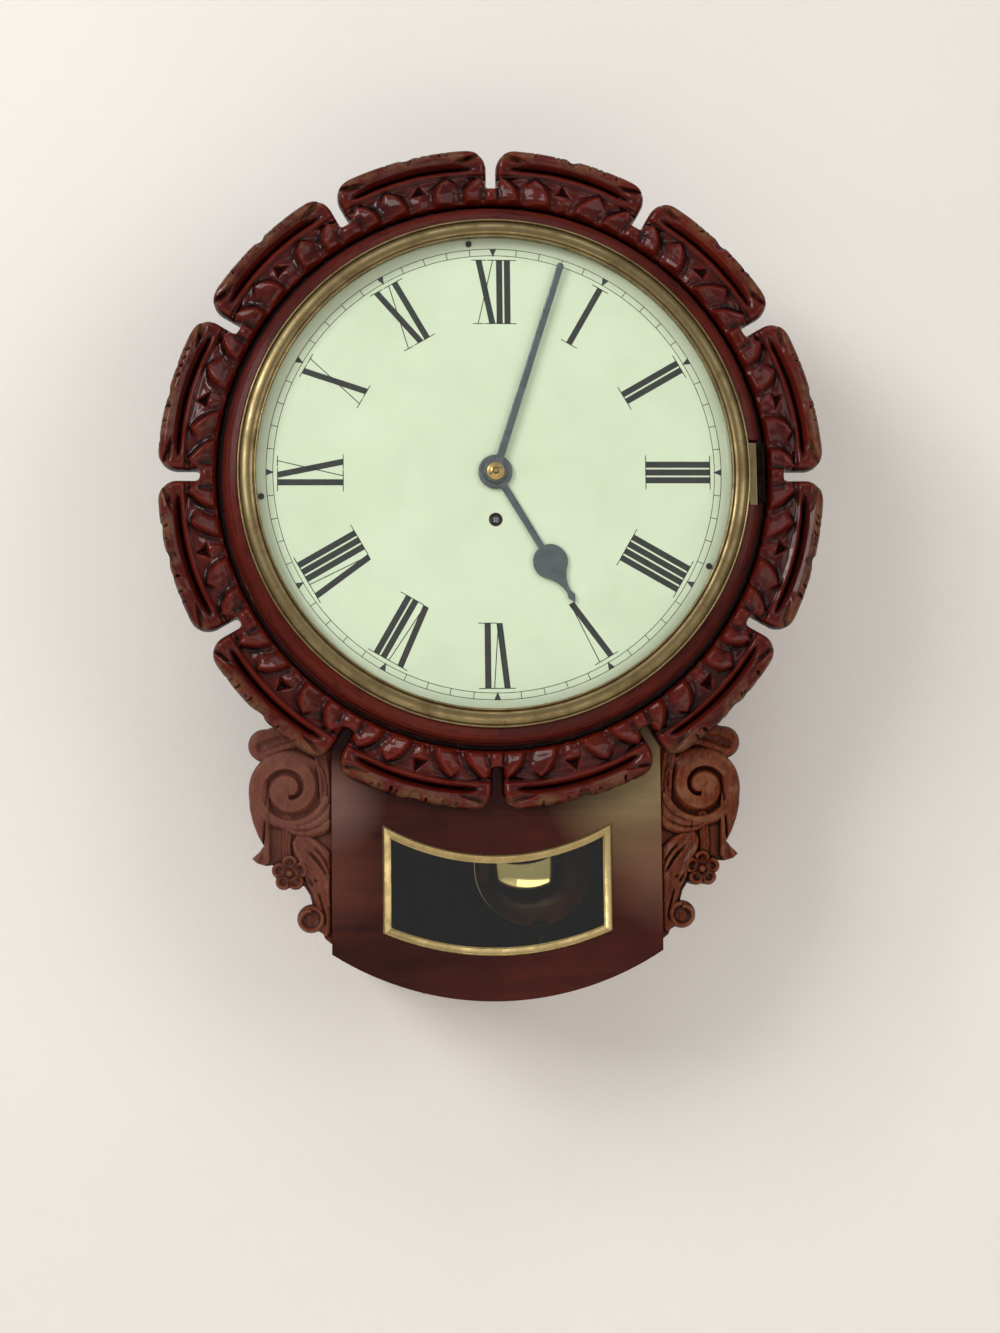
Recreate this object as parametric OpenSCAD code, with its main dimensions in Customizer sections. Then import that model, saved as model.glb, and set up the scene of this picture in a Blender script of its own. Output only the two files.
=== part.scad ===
// Drop dial wall clock with a carved twelve-lobe rim, scrolled ears and an eight-day movement.
// X runs to the right, Y into the wall and Z up. The origin is the middle of the hanging hole,
// on the wall. A depth called z is measured from the painted face of the dial towards the wall,
// and a drawing in the plane of the dial has the dial centre as its origin.

/* [Placing] */
// Height of the hanging hole above the dial centre
hang_rise = 147; // [143:0.5:152]
// Distance from the painted face of the dial to the wall
dial_depth = 150; // [146:1:170]
// How far the trunk front lies behind the face of the dial
trunk_setback = 17; // [16:0.5:20]

/* [Case] */
// Width of the trunk and of the box behind the dial
case_w = 208; // [202:1:214]
// Height of the top of the box above the dial centre
case_rise = 135; // [128:1:138]
// Drop of the trunk's lowest point below the dial centre
trunk_drop = 331.5; // [325:0.5:345]
// Drop of the trunk's lower corners below the dial centre
corner_drop = 301; // [292:0.5:306]
// Thickness of the side boards
side_t = 12; // [11:0.5:14]
// Thickness of the trunk front
front_t = 10; // [9:0.5:12]
// Thickness of the back board
back_t = 10; // [8:0.5:14]
// Thickness of the top board
top_t = 10; // [8:0.5:12]
// Thickness of the curved bottom board
bottom_t = 8; // [7:0.5:10]
// How far the trunk front reaches in behind the surround
front_arch_in = 7; // [4:0.5:10]

/* [Window] */
// Width of the window over its moulding
window_w = 144.6; // [130:0.2:150]
// Drop of the middle of the window's upper edge below the dial centre
window_top = 240.3; // [236:0.1:245]
// Radius of the window's upper edge
window_top_r = 141.9; // [135:0.1:160]
// Drop of the middle of the window's lower edge below the dial centre
window_bottom = 303.5; // [298:0.1:308]
// Radius of the window's lower edge
window_bottom_r = 181.7; // [170:0.1:200]
// Width of the brass moulding's face
moulding_w = 5.3; // [4:0.1:7]
// How far the moulding stands out of the trunk front
moulding_proud = 1.4; // [0.8:0.1:2.5]
// Depth of the moulding in the trunk front
moulding_in = 4.4; // [3:0.1:5]
// Thickness of the window glass
window_glass_t = 2; // [1.5:0.1:2.5]
// Width of the wooden lip behind the window glass
window_lip = 4; // [3:0.5:5]

/* [Dial surround] */
// Width of the surround's inner ledge, under the dial and the bezel's skirt
ledge_w = 14.5; // [13:0.5:16]
// Width of the surround outside the bezel
surround_w = 10.6; // [9:0.1:12]
// How far the bezel's seat stands in front of the face of the dial
seat_rise = 5; // [4:0.2:6]
// Drop of the rounded face from the bezel's seat to its outer edge
surround_fall = 5; // [3:0.5:6]
// Depth of the shadow groove outside the rounded face
shadow_d = 8; // [5:0.5:9]
// Width of the blocks that hold the surround to the box
block_w = 15; // [12:0.5:18]
// Height of those blocks
block_h = 14; // [12:0.5:18]
// Length of those blocks into the box
block_l = 30; // [24:1:40]
// Radius of the thick end of the taper pegs
peg_r = 4; // [3:0.25:5]
// How far a peg's head stands out of the side board
peg_head = 6; // [3:0.5:10]

/* [Carved rim] */
// Width of the rim from the surround to the lobes' edges
rim_w = 40.5; // [38:0.5:44]
// Number of lobes
lobes = 12; // [8:1:14]
// Depth of the slots between the lobes
notch_d = 27; // [24:0.5:30]
// Width of those slots
notch_w = 6.3; // [4:0.1:9]
// Radius of the lobes' rounded corners
lobe_corner_r = 13; // [8:0.5:16]
// Depth of the nick in the middle of each lobe's edge
nick_d = 1.8; // [0:0.1:3]
// Width of the shadow groove inside the flutes
shadow_w = 2.5; // [1:0.1:4]
// Distance from the surround to the smooth bead
bead_at = 18; // [16:0.5:19]
// Width of the smooth bead
bead_w = 6.5; // [5:0.1:7]
// Width of the deep groove outside the bead
groove_w = 2.6; // [1.5:0.1:3.5]
// Height of the bead above the back of the rim
bead_h = 14.5; // [12:0.5:16]
// Depth of the deep groove
groove_d = 6; // [3:0.5:8]
// Height of the outer band above the back of the rim
band_h = 12; // [10:0.5:14]
// Height of the rim's outer edge
edge_h = 4.5; // [3:0.5:8]
// Depth of the triangular chip cut in each lobe
chip_d = 3.5; // [2:0.5:5]
// Width of that cut
chip_w = 11; // [7:0.5:14]

/* [Ears] */
// Height of an ear
ear_h = 142; // [130:1:148]
// Drop of an ear's top below the dial centre
ear_top = 153; // [150:0.5:156]
// Thickness of the ears
ear_t = 22; // [16:1:28]
// How far the ears' highest carving lies behind the trunk front
ear_setback = 2; // [1:0.5:6]
// Height of the carving on the ears above their ground
ear_relief = 5; // [3:0.5:8]

/* [Doors] */
// Height of the side door
side_door_h = 150; // [120:1:160]
// Width of the side door
side_door_w = 75; // [60:1:80]
// Height of the side door's middle above the dial centre
side_door_mid = -10; // [-20:1:5]
// Distance from the wall to the side door's hinged edge
side_door_back = 30; // [26:1:36]
// Thickness of the side door
side_door_t = 8; // [6:0.5:9]
// Width of the bottom door along the curve
bottom_door_w = 90; // [70:1:100]
// Depth of the bottom door, from front to back
bottom_door_l = 84; // [60:1:90]
// Thickness of the bottom door
bottom_door_t = 5; // [4:0.5:6]
// Gap round a closed door
door_gap = 0.5; // [0.3:0.1:0.8]
// Gap at a door's free edge, where it swings past the frame
door_free_gap = 1.3; // [1.1:0.1:2]
// Width of the lip that a door closes against
door_lip = 5; // [4:0.5:8]
// Radius of a door knob
knob_r = 5; // [4:0.5:7]
// Length of a door knob
knob_l = 9; // [7:0.5:12]

/* [Hinges] */
// Radius of a hinge's knuckles
knuckle_r = 2; // [1.7:0.1:2.2]
// Radius of a hinge's pin
hinge_pin_r = 0.9; // [0.7:0.05:1.1]
// Thickness of a hinge's leaves
leaf_t = 1; // [0.8:0.1:1.2]
// Width of a door hinge's leaf
door_leaf_w = 12; // [9:0.5:14]
// Length of a door hinge
door_hinge_l = 24; // [18:1:32]
// Length of the bezel's hinge
bezel_hinge_l = 38; // [30:1:44]
// Distance from the bezel's edge to its hinge pin
bezel_pin_out = 6.1; // [5.5:0.1:6.5]

/* [Bezel] */
// Width of the bezel's face
bezel_w = 11.8; // [11:0.1:13]
// How far the bezel covers the dial plate's edge
dial_cover = 5.4; // [5:0.1:6]
// Height of the bezel's outer bead above its seat
bezel_outer_h = 2.6; // [2.2:0.1:3]
// Height of the bezel's inner bead above its seat
bezel_inner_h = 4; // [3.4:0.1:4.6]
// Radius of the bezel's bead lines
bezel_bead_r = 0.9; // [0.5:0.1:1.1]
// Thickness of the bezel's glass
bezel_glass_t = 1.8; // [1.5:0.1:2.2]
// Rise of the glass from its edge to its middle
glass_rise = 10.5; // [9:0.5:14]
// Thickness of the ring that holds the glass
glass_ring_t = 1.4; // [1:0.1:1.6]
// Gap between the bezel's rebate and the surround
bezel_gap = 0.5; // [0.3:0.1:0.8]

/* [Dial] */
// Radius of the dial plate
dial_r = 155; // [150:0.5:160]
// Thickness of the dial plate
dial_t = 1.5; // [1.2:0.1:1.8]
// Distance of the dial screws from the dial's edge
dial_screw_in = 7.6; // [7.4:0.1:8.4]
// Angles of the dial screws, clockwise from twelve
dial_screw_turns = [354, 264, 114];
// Radius of a dial screw's head
dial_screw_head = 1.9; // [1.5:0.1:2.1]
// Radius of the hole at the dial's centre
dial_hole_r = 4.6; // [4.3:0.1:6]
// Radius of the winding hole
winding_hole_r = 4.5; // [4:0.1:6]
// Half the distance across the dial feet
foot_x = 36; // [34:0.5:38]
// Height of the upper dial feet above the dial centre
foot_top = 40; // [38:0.5:44]
// Drop of the lower dial feet below the dial centre
foot_bottom = 45; // [42:0.5:48]
// Radius of a dial foot
foot_r = 2.5; // [2:0.1:3]

/* [Hands] */
// Turn of the minute hand from twelve
minute_turn = 17.9; // [0:0.1:359]
// Turn of the hour hand from twelve
hour_turn = 149.2; // [0:0.1:359]
// Distance from the minute hand's tip to the dial plate's edge
minute_hand_in = 15.5; // [13:0.5:30]
// Length of the hour hand
hour_hand_l = 96.5; // [80:0.5:98]
// Thickness of the hands
hand_t = 0.9; // [0.7:0.05:1]
// Gap between the dial and the hour hand
hour_hand_gap = 2; // [1.6:0.1:2.2]
// Gap between the two hands
hand_gap = 0.8; // [0.6:0.1:0.9]
// Radius of the hour hand's boss
hour_boss_r = 10.8; // [8:0.1:12]
// Radius of the minute hand's boss
minute_boss_r = 7.4; // [6:0.1:9]
// Radius of the hour hand's spade
spade_r = 11; // [8:0.1:12]
// Distance of the spade's middle from the dial centre
spade_at = 66; // [60:0.5:70]
// Radius of the brass collet
collet_r = 5.5; // [5:0.1:7]
// Height of the brass collet
collet_h = 3; // [2.6:0.1:3.6]

/* [Movement] */
// Gap between the dial's face and the front plate
front_plate_z = 16; // [15.5:0.1:17]
// Thickness of the movement's plates
plate_t = 2.5; // [2:0.1:3]
// Length of the pillars between the plates
pillar_l = 50; // [49:0.5:56]
// Radius of a pillar
pillar_r = 4; // [3:0.25:5]
// Width of the plates
plate_w = 86; // [82:1:92]
// Height of the plates' top above the dial centre
plate_top = 60; // [58:0.5:66]
// Drop of the plates' bottom below the dial centre
plate_bottom = 66; // [64:0.5:72]
// Drop of the winding arbor below the dial centre
winding_drop = 30; // [29.5:0.1:30.5]
// Teeth of the barrel's great wheel
great_teeth = 84; // [72:1:84]
// Leaves of the intermediate pinion
intermediate_leaves = 12; // [11:1:14]
// Module of the great wheel
great_module = 0.6; // [0.56:0.01:0.61]
// Teeth of the intermediate wheel
intermediate_teeth = 72; // [68:1:74]
// Leaves of the centre pinion
centre_leaves = 10; // [9:1:12]
// Module of the intermediate wheel
intermediate_module = 0.5; // [0.48:0.01:0.51]
// Teeth of the centre wheel
centre_teeth = 80; // [78:1:82]
// Leaves of the third pinion
third_leaves = 8; // [8:1:10]
// Teeth of the third wheel
third_teeth = 75; // [72:1:76]
// Leaves of the escape pinion
escape_leaves = 8; // [8:1:9]
// Module of the centre and third wheels
train_module = 0.42; // [0.41:0.005:0.43]
// Teeth of the escape wheel
escape_teeth = 35; // [30:1:40]
// Radius of the escape wheel
escape_r = 15; // [13:0.1:15.3]
// Leaves of the cannon pinion
cannon_leaves = 14; // [12:1:16]
// Teeth of the minute wheel
minute_teeth = 42; // [40:1:44]
// Module of the cannon pinion and the minute wheel
cannon_module = 0.6; // [0.55:0.01:0.62]
// Leaves of the minute pinion
minute_leaves = 12; // [12:1:14]
// Teeth of the hour wheel
hour_teeth = 48; // [46:1:50]
// Radius of an arbor between the plates
arbor_r = 1.6; // [1.2:0.1:1.8]
// Radius of an arbor's pivot
pivot_r = 1; // [0.7:0.05:1.1]
// Thickness of a wheel
wheel_t = 1.5; // [1:0.1:1.8]
// Length of a pinion's leaves
pinion_l = 4; // [3.5:0.1:4.5]
// Radius of the barrel's drum
drum_r = 23.5; // [22:0.1:24]
// Length of the barrel's drum with its toothed rim
barrel_l = 30; // [26:0.5:31]
// Radius of the winding arbor
winding_r = 2.6; // [2.3:0.1:3]
// Width across the winding square
winding_square = 3.2; // [2.8:0.1:3.4]
// Radius of the ratchet wheel over its teeth
ratchet_r = 10.5; // [9:0.1:11]
// Teeth of the ratchet wheel
ratchet_teeth = 24; // [18:1:28]
// Turns of the mainspring
spring_turns = 7; // [4:1:10]
// Thickness of the mainspring
spring_t = 0.45; // [0.3:0.05:0.6]

/* [Pendulum] */
// Depth of the pendulum behind the face of the dial
pendulum_z = 95; // [94:0.5:98]
// Height of the pallet arbor and of the suspension above the dial centre
suspension_rise = 50; // [49:0.5:51]
// Swing of the pendulum at rest in this model, to the right
rest_swing = 5.5; // [0:0.5:6]
// Distance from the suspension to the middle of the bob
pendulum_l = 300; // [280:1:304]
// Radius of the pendulum rod
rod_r = 1.75; // [1.5:0.05:2]
// Radius of the bob
bob_r = 40; // [34:0.5:42]
// Radius of the bob's rounded faces
bob_face_r = 55.7; // [50:0.1:80]
// Radius of the rating nut
nut_r = 6; // [4:0.5:8]
// Height of the rating nut
nut_h = 5; // [3:0.5:6]

/* [Hanging] */
// Radius of the hanging hole
hang_hole_r = 4; // [3:0.25:5]
// Thickness of the hanging plate
hang_plate_t = 2; // [1.5:0.1:2.5]
// Width of the hanging plate
hang_plate_w = 40; // [30:1:50]
// Height of the plate above the middle of the hole
hang_plate_over = 12; // [10:0.5:14]
// Length of the plate down the back board
hang_plate_down = 36; // [30:1:44]

/* [Fits] */
// Gap of a running fit
run_gap = 0.06; // [0.03:0.01:0.08]
// Gap between pieces that are fixed together
seat_gap = 0.02; // [0.01:0.01:0.05]
// Gap of a loose fit, where a piece drops into its place
loose_gap = 0.2; // [0.15:0.05:0.3]

/* [Hidden] */

// Colours of the finishes
mahogany = [0.30, 0.07, 0.05];
plain_wood = [0.42, 0.15, 0.10];
ear_wood = [0.48, 0.25, 0.17];
inner_wood = [0.50, 0.34, 0.20];
brass = [0.72, 0.60, 0.34];
steel = [0.62, 0.63, 0.66];
blued_steel = [0.20, 0.21, 0.26];
paint = [0.90, 0.93, 0.80];
clear_glass = [0.80, 0.88, 0.88, 0.3];

// Depths of the case
trunk_z = trunk_setback;
front_back_z = trunk_z + front_t;
back_in_z = dial_depth - back_t;
half_w = case_w / 2;
inside_w = half_w - side_t;

// The curved bottom: an arc through both corners and the lowest point
bottom_sag = trunk_drop - corner_drop;
bottom_r = (half_w * half_w + bottom_sag * bottom_sag) / (2 * bottom_sag);
bottom_y = bottom_r - trunk_drop;
bottom_in_r = bottom_r - bottom_t;

// Window glass and moulding
moulding_back_z = trunk_z + moulding_in;
window_glass_z = moulding_back_z + seat_gap;
window_lip_z = window_glass_z + window_glass_t + seat_gap;

// Radii from the dial outwards
bezel_in_r = dial_r - dial_cover;
bezel_out_r = bezel_in_r + bezel_w;
rebate_r = dial_r + bezel_gap;
surround_in_r = rebate_r - ledge_w;
surround_out_r = bezel_out_r + surround_w;
front_arch_r = surround_out_r - front_arch_in;
rim_out_r = surround_out_r + rim_w;
notch_r = rim_out_r - notch_d;
flute_in_r = surround_out_r + shadow_w;
bead_in_r = surround_out_r + bead_at;
bead_out_r = bead_in_r + bead_w;
dial_screw_circle = dial_r - dial_screw_in;
minute_hand_l = dial_r - minute_hand_in;

// Heights of the surround above its back, which lies on the trunk front's plane
surround_h = trunk_z + seat_rise;
dial_seat_h = trunk_z - dial_t;
seat_out_r = bezel_out_r + 1;

// Lobe angles
lobe_step = 360 / lobes;
notch_half = asin(notch_w / 2 / bead_out_r);
lobe_half = lobe_step / 2 - notch_half;
corner_at_r = rim_out_r - lobe_corner_r;
corner_half = asin(lobe_corner_r / corner_at_r);
notch_round = notch_w / 2;
corner_steps = 6;

// Bezel
bezel_seat_z = -seat_rise;
outer_bead_h = seat_rise + bezel_outer_h - bezel_bead_r;
inner_bead_h = seat_rise + bezel_inner_h - bezel_bead_r;
bezel_skirt_out = rebate_r - bezel_gap;
bezel_skirt_in = bezel_skirt_out - 1.6;
skirt_end_z = -0.8;
lip_back_z = bezel_seat_z - 0.8;
glass_edge_z = lip_back_z + 0.6;
glass_edge_r = bezel_skirt_in - loose_gap;
glass_face_r = (glass_edge_r * glass_edge_r + glass_rise * glass_rise) / (2 * glass_rise);
glass_back_z = glass_edge_z + bezel_glass_t;

// Hinge of the bezel
bezel_recess_h = bezel_hinge_l + 3;
bezel_pin_x = bezel_out_r + bezel_pin_out;
bezel_pin_z = bezel_seat_z + knuckle_r + 0.2;

// Hands and their pipes, as depths
hour_hand_z = -hour_hand_gap;
minute_hand_z = hour_hand_z - hand_t - hand_gap;
collet_z = minute_hand_z - hand_t;
arbor_tip_z = collet_z - collet_h - 0.6;
centre_pivot_r = 1.5;
cannon_pipe_r = 2.4;
hour_pipe_r = 3.7;
hand_pin_r = 0.6;

// Plates and layers of the movement, as depths
plate_in_z = front_plate_z + plate_t;
back_plate_z = plate_in_z + pillar_l;
back_plate_end = back_plate_z + plate_t;
barrel_z = plate_in_z + 9;
barrel_end = barrel_z + barrel_l;
great_t = 4;
great_z = barrel_end - great_t;
intermediate_pinion_z = great_z - 1.5;
intermediate_pinion_l = great_t + 3.5;
intermediate_z = barrel_end + 4;
centre_pinion_z = intermediate_z - (pinion_l - wheel_t) / 2;
centre_z = plate_in_z + 4;
third_pinion_z = centre_z - (pinion_l - wheel_t) / 2;
third_z = great_z - 5;
escape_pinion_z = third_z - (pinion_l - wheel_t) / 2;
escape_z = third_z + 6;
cannon_z = front_plate_z - 6.2;
cannon_tooth_l = 2.8;
minute_z = cannon_z + 0.6;
hour_z = minute_z - 4.4;
minute_pinion_z = hour_z - 0.8;

// Places of the arbors in the plane of the dial
centre_at = [0, 0];
winding_at = [0, -winding_drop];
pallet_at = [0, suspension_rise];
escape_at = [0, suspension_rise - 1.4 * escape_r];
intermediate_at = meet(
  winding_at, mesh(great_teeth, intermediate_leaves, great_module),
  centre_at, mesh(intermediate_teeth, centre_leaves, intermediate_module), -1);
third_at = meet(
  centre_at, mesh(centre_teeth, third_leaves, train_module),
  escape_at, mesh(third_teeth, escape_leaves, train_module), 1);
motion_d = mesh(cannon_leaves, minute_teeth, cannon_module);
hour_module = 2 * motion_d / (minute_leaves + hour_teeth);
motion_turn = 120;
stud_r = 1.2;
minute_at = motion_d * [cos(motion_turn), sin(motion_turn)];
click_turn = 205;
click_arm = 16;
click_at = winding_at + click_arm * [cos(click_turn), sin(click_turn)];

// Corners of the plates and of the dial feet
pillar_points = [for (sx = [-1, 1], y = [plate_top - 7, 6 - plate_bottom])
  [sx * (plate_w / 2 - 7), y]];
foot_points = [for (sx = [-1, 1], y = [foot_top, -foot_bottom]) [sx * foot_x, y]];

// Pendulum
bob_offset = sqrt(bob_face_r * bob_face_r - bob_r * bob_r);
cock_z = back_plate_end + 13;
cock_t = 3;
chop_top = 8;
chop_bottom = 14;

ring_fn = 180;
round_fn = 48;

// Depth from the dial's face, as a place along Y
function place(z) = z - dial_depth;
// Distance between two arbors whose wheels mesh
function mesh(teeth_a, teeth_b, m) = m * (teeth_a + teeth_b) / 2;
// Direction from a to b, in degrees
function heading(a, b) = atan2(b[1] - a[1], b[0] - a[0]);
// The point at distance ra from a and rb from b, on the left of the way from a to b for side 1
function meet(a, ra, b, rb, side) =
  let (d = norm(b - a),
    along = (ra * ra - rb * rb + d * d) / (2 * d),
    off = sqrt(ra * ra - along * along),
    way = (b - a) / d)
  a + along * way + side * off * [-way[1], way[0]];
function polar(r, a) = [r * cos(a), r * sin(a)];
function arc(c, r, a0, a1, n) = [for (i = [0 : n]) c + polar(r, a0 + (a1 - a0) * i / n)];

// Drawing in the plane of the dial, extruded between two depths
module slab(z0, z1) {
  translate([0, place(z1), -hang_rise])
    rotate([90, 0, 0])
      linear_extrude(z1 - z0)
        children();
}

// Profile turned about the dial's axis, with its heights measured forwards from a depth
module turned(z, fn = ring_fn) {
  translate([0, place(z), -hang_rise])
    rotate([90, 0, 0])
      rotate_extrude($fn = fn)
        children();
}

// Round bar through a point of the dial's plane, between two depths
module bar(p, z0, z1, r) {
  slab(z0, z1)
    translate(p)
      circle(r, $fn = round_fn);
}

// Whatever swings with the pendulum, at its place at rest
module swung() {
  translate([0, 0, suspension_rise - hang_rise])
    rotate([0, -rest_swing, 0])
      translate([0, 0, hang_rise - suspension_rise])
        children();
}

// Part of a ring, as a polygon
module sector(r0, r1, a0, a1, n = 8) {
  polygon(concat(arc([0, 0], r1, a0, a1, n), arc([0, 0], r0, a1, a0, n)));
}

// Toothed disc with a tooth pointing along phase
module teeth_2d(teeth, m, phase, slim = 1) {
  step = 360 / teeth;
  pitch_r = m * teeth / 2;
  tip_r = pitch_r + 0.8 * m;
  root_r = pitch_r - 1.05 * m;
  root_half = 0.27 * step;
  pitch_half = 0.19 * step * slim;
  tip_half = 0.08 * step;
  rotate(phase)
    polygon([for (i = [0 : teeth - 1], p = [
      [root_r, -root_half], [pitch_r, -pitch_half], [tip_r, -tip_half],
      [tip_r, tip_half], [pitch_r, pitch_half], [root_r, root_half]])
      polar(p[0], i * step + p[1])]);
}

// Wheel with crossings, before its bore
module crossed_2d(rim_r, hub_r, arms, turn) {
  difference() {
    children();
    for (i = [0 : arms - 1])
      rotate(turn + i * 360 / arms)
        sector(hub_r, rim_r, 180 / arms * 0.24, 360 / arms - 180 / arms * 0.24);
  }
}

module wheel_2d(teeth, m, phase, hub_r, arms = 4) {
  crossed_2d(m * teeth / 2 - 3.2 * m - 0.4, hub_r, arms, phase)
    teeth_2d(teeth, m, phase);
}

// Arbor with two pivots that run in the plates
module arbor(p, front_end, back_end, r) {
  bar(p, plate_in_z + 0.15, back_plate_z - 0.15, r);
  bar(p, front_end, plate_in_z + 0.5, pivot_r);
  bar(p, back_plate_z - 0.5, back_end, pivot_r);
}

// Outline of the box and the trunk, seen from the front
module case_outline(half) {
  intersection() {
    translate([-half, -trunk_drop])
      square([2 * half, trunk_drop + case_rise]);
    union() {
      translate([0, bottom_y])
        circle(bottom_r, $fn = 360);
      translate([-half, bottom_y])
        square([2 * half, case_rise - bottom_y]);
    }
  }
}

// Outline of the window, drawn in from its outer edge
module window_outline(inset) {
  difference() {
    intersection() {
      translate([-window_w / 2 + inset, -window_bottom])
        square([window_w - 2 * inset, window_bottom - window_top + 30]);
      translate([0, window_bottom_r - window_bottom])
        circle(window_bottom_r - inset, $fn = 360);
    }
    translate([0, window_top_r - window_top])
      circle(window_top_r + inset, $fn = 360);
  }
}

// One side of a lobe, from the bottom of its slot to its middle, as [angle, radius] pairs
function lobe_side() = concat(
  [for (i = [0 : 3])
    [lobe_step / 2 - notch_half * sin(i * 30),
    notch_r + notch_round * (1 - cos(i * 30))]],
  [for (i = [0 : corner_steps])
    let (a = i * 90 / corner_steps)
    [lobe_half - corner_half * (1 - cos(a)), corner_at_r + lobe_corner_r * sin(a)]],
  [for (i = [3 : -1 : 1]) [0.9 + (lobe_half - corner_half - 0.9) * i / 4, rim_out_r]],
  [[0.9, rim_out_r], [0, rim_out_r - nick_d]]);

// Outline of the carved rim
module rim_outline() {
  side = lobe_side();
  n = len(side);
  polygon([for (k = [0 : lobes - 1], i = [0 : 2 * n - 2])
    let (first = i < n,
      p = first ? side[i] : side[2 * n - 1 - i],
      a = first ? -p[0] : p[0])
    polar(p[1], 90 + (k + 0.5) * lobe_step + a)]);
}

module carved_rim() {
  color(mahogany)
    difference() {
      intersection() {
        slab(trunk_z - bead_h - 1, trunk_z)
          rim_outline();
        turned(trunk_z)
          polygon([
            [surround_out_r + seat_gap, 0],
            [surround_out_r + seat_gap, bead_h - shadow_d - 1],
            [flute_in_r, bead_h - shadow_d],
            [flute_in_r + 1.5, bead_h - 4.5],
            [flute_in_r + 5, bead_h - 2],
            [flute_in_r + 10, bead_h - 1.2],
            [bead_in_r - 1, bead_h - 1.8],
            [bead_in_r, bead_h - 2.4],
            [bead_in_r + 1.2, bead_h - 0.6],
            [bead_in_r + 3.2, bead_h],
            [bead_out_r - 1, bead_h - 0.8],
            [bead_out_r + groove_w * 0.4, bead_h - groove_d],
            [bead_out_r + groove_w, band_h - 0.6],
            [bead_out_r + groove_w + 3, band_h],
            [rim_out_r - 6, band_h - 1.2],
            [rim_out_r - 2, band_h - 3.6],
            [rim_out_r + 0.5, edge_h],
            [rim_out_r + 0.5, 0]]);
      }
      slab(trunk_z - bead_h - 1, trunk_z - bead_h + 1.2 + chip_d)
        for (k = [0 : lobes - 1])
          rotate((k + 0.5) * lobe_step)
            translate([0, bead_in_r - 6])
              polygon([[-chip_w / 2, 0], [chip_w / 2, 0], [0, 5.4]]);
    }
}

module dial_surround() {
  color(plain_wood)
    difference() {
      turned(trunk_z)
        polygon([
          [surround_in_r, 0],
          [surround_in_r, dial_seat_h - seat_gap],
          [rebate_r, dial_seat_h - seat_gap],
          [rebate_r, surround_h - seat_gap],
          [seat_out_r, surround_h - seat_gap],
          [seat_out_r + 3.5, surround_h - 0.18 * surround_fall],
          [seat_out_r + 6.2, surround_h - 0.5 * surround_fall],
          [surround_out_r - 1.6, surround_h - surround_fall],
          [surround_out_r - 1, trunk_z - shadow_d],
          [surround_out_r, trunk_z - shadow_d],
          [surround_out_r, 0]]);
      slab(-seat_rise - 1, bezel_pin_z + knuckle_r + 0.6)
        translate([bezel_out_r - 1, -bezel_recess_h / 2])
          square([surround_out_r + 2 - bezel_out_r, bezel_recess_h]);
      for (a = dial_screw_turns)
        bar(polar(dial_screw_circle, 90 - a), 0, dial_t + 9, 1);
    }
}

// Blocks glued behind the surround, just inside the box's sides
module block_at(sx, y) {
  slab(trunk_z + seat_gap, trunk_z + seat_gap + block_l)
    translate([sx > 0 ? inside_w - seat_gap - block_w : seat_gap - inside_w, y])
      square([block_w, block_h]);
}

block_top_y = case_rise - top_t - block_h - 0.3;
block_low_y = -block_top_y - block_h;
peg_points = [for (sx = [-1, 1], y = [block_top_y, block_low_y]) [sx, y + block_h / 2]];
peg_z = trunk_z + block_l * 0.6;

// Taper peg pushed in through a side board, or its hole where grow is above 0
module peg_at(sx, y, grow) {
  translate([sx * (inside_w - block_w + 1), place(peg_z), y - hang_rise])
    rotate([0, sx * 90, 0])
      cylinder(h = block_w - 1 + side_t + peg_head, r1 = peg_r * 0.7 + grow,
          r2 = peg_r + grow, $fn = round_fn);
}

module surround_blocks() {
  color(inner_wood)
    difference() {
      for (p = peg_points)
        block_at(p[0], p[1] - block_h / 2);
      for (p = peg_points)
        peg_at(p[0], p[1], seat_gap);
    }
}

module case_pegs() {
  color(inner_wood)
    for (p = peg_points)
      peg_at(p[0], p[1], 0);
}

module top_board() {
  color(inner_wood)
    slab(trunk_z + seat_gap, back_in_z)
      translate([-inside_w, case_rise - top_t])
        square([2 * inside_w, top_t]);
}

// Side board: it meets the surround above and the back of the trunk front below
module side_board(sx) {
  difference() {
    intersection() {
      slab(trunk_z + seat_gap, back_in_z)
        case_outline(half_w);
      slab(trunk_z, back_in_z)
        translate([sx > 0 ? inside_w : -half_w, -trunk_drop])
          square([side_t, trunk_drop + case_rise]);
    }
    slab(trunk_z - 1, front_back_z)
      difference() {
        translate([-half_w - 1, -trunk_drop - 1])
          square([case_w + 2, trunk_drop]);
        circle(front_arch_r - 0.5, $fn = ring_fn);
      }
    for (p = peg_points)
      peg_at(p[0], p[1], seat_gap);
  }
}

module left_side() {
  color(inner_wood)
    side_board(-1);
}

side_door_hinge_z = dial_depth - side_door_back;
side_door_front_z = side_door_hinge_z - side_door_w;
side_door_low = side_door_mid - side_door_h / 2;

// Block in the right-hand side board's plane, between two depths, two heights and two widths
module side_block(x0, x1, z0, z1, y0, y1) {
  translate([x0, place(z0), y0 - hang_rise])
    cube([x1 - x0, z1 - z0, y1 - y0]);
}

module right_side() {
  color(inner_wood)
    difference() {
      side_board(1);
      side_block(half_w - side_door_t - loose_gap, half_w + 1,
           side_door_front_z - door_free_gap, side_door_hinge_z + door_gap,
           side_door_low - door_gap, side_door_low + side_door_h + door_gap);
      side_block(inside_w - 1, half_w,
           side_door_front_z + door_lip, side_door_hinge_z - door_lip,
           side_door_low + door_lip, side_door_low + side_door_h - door_lip);
    }
}

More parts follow.
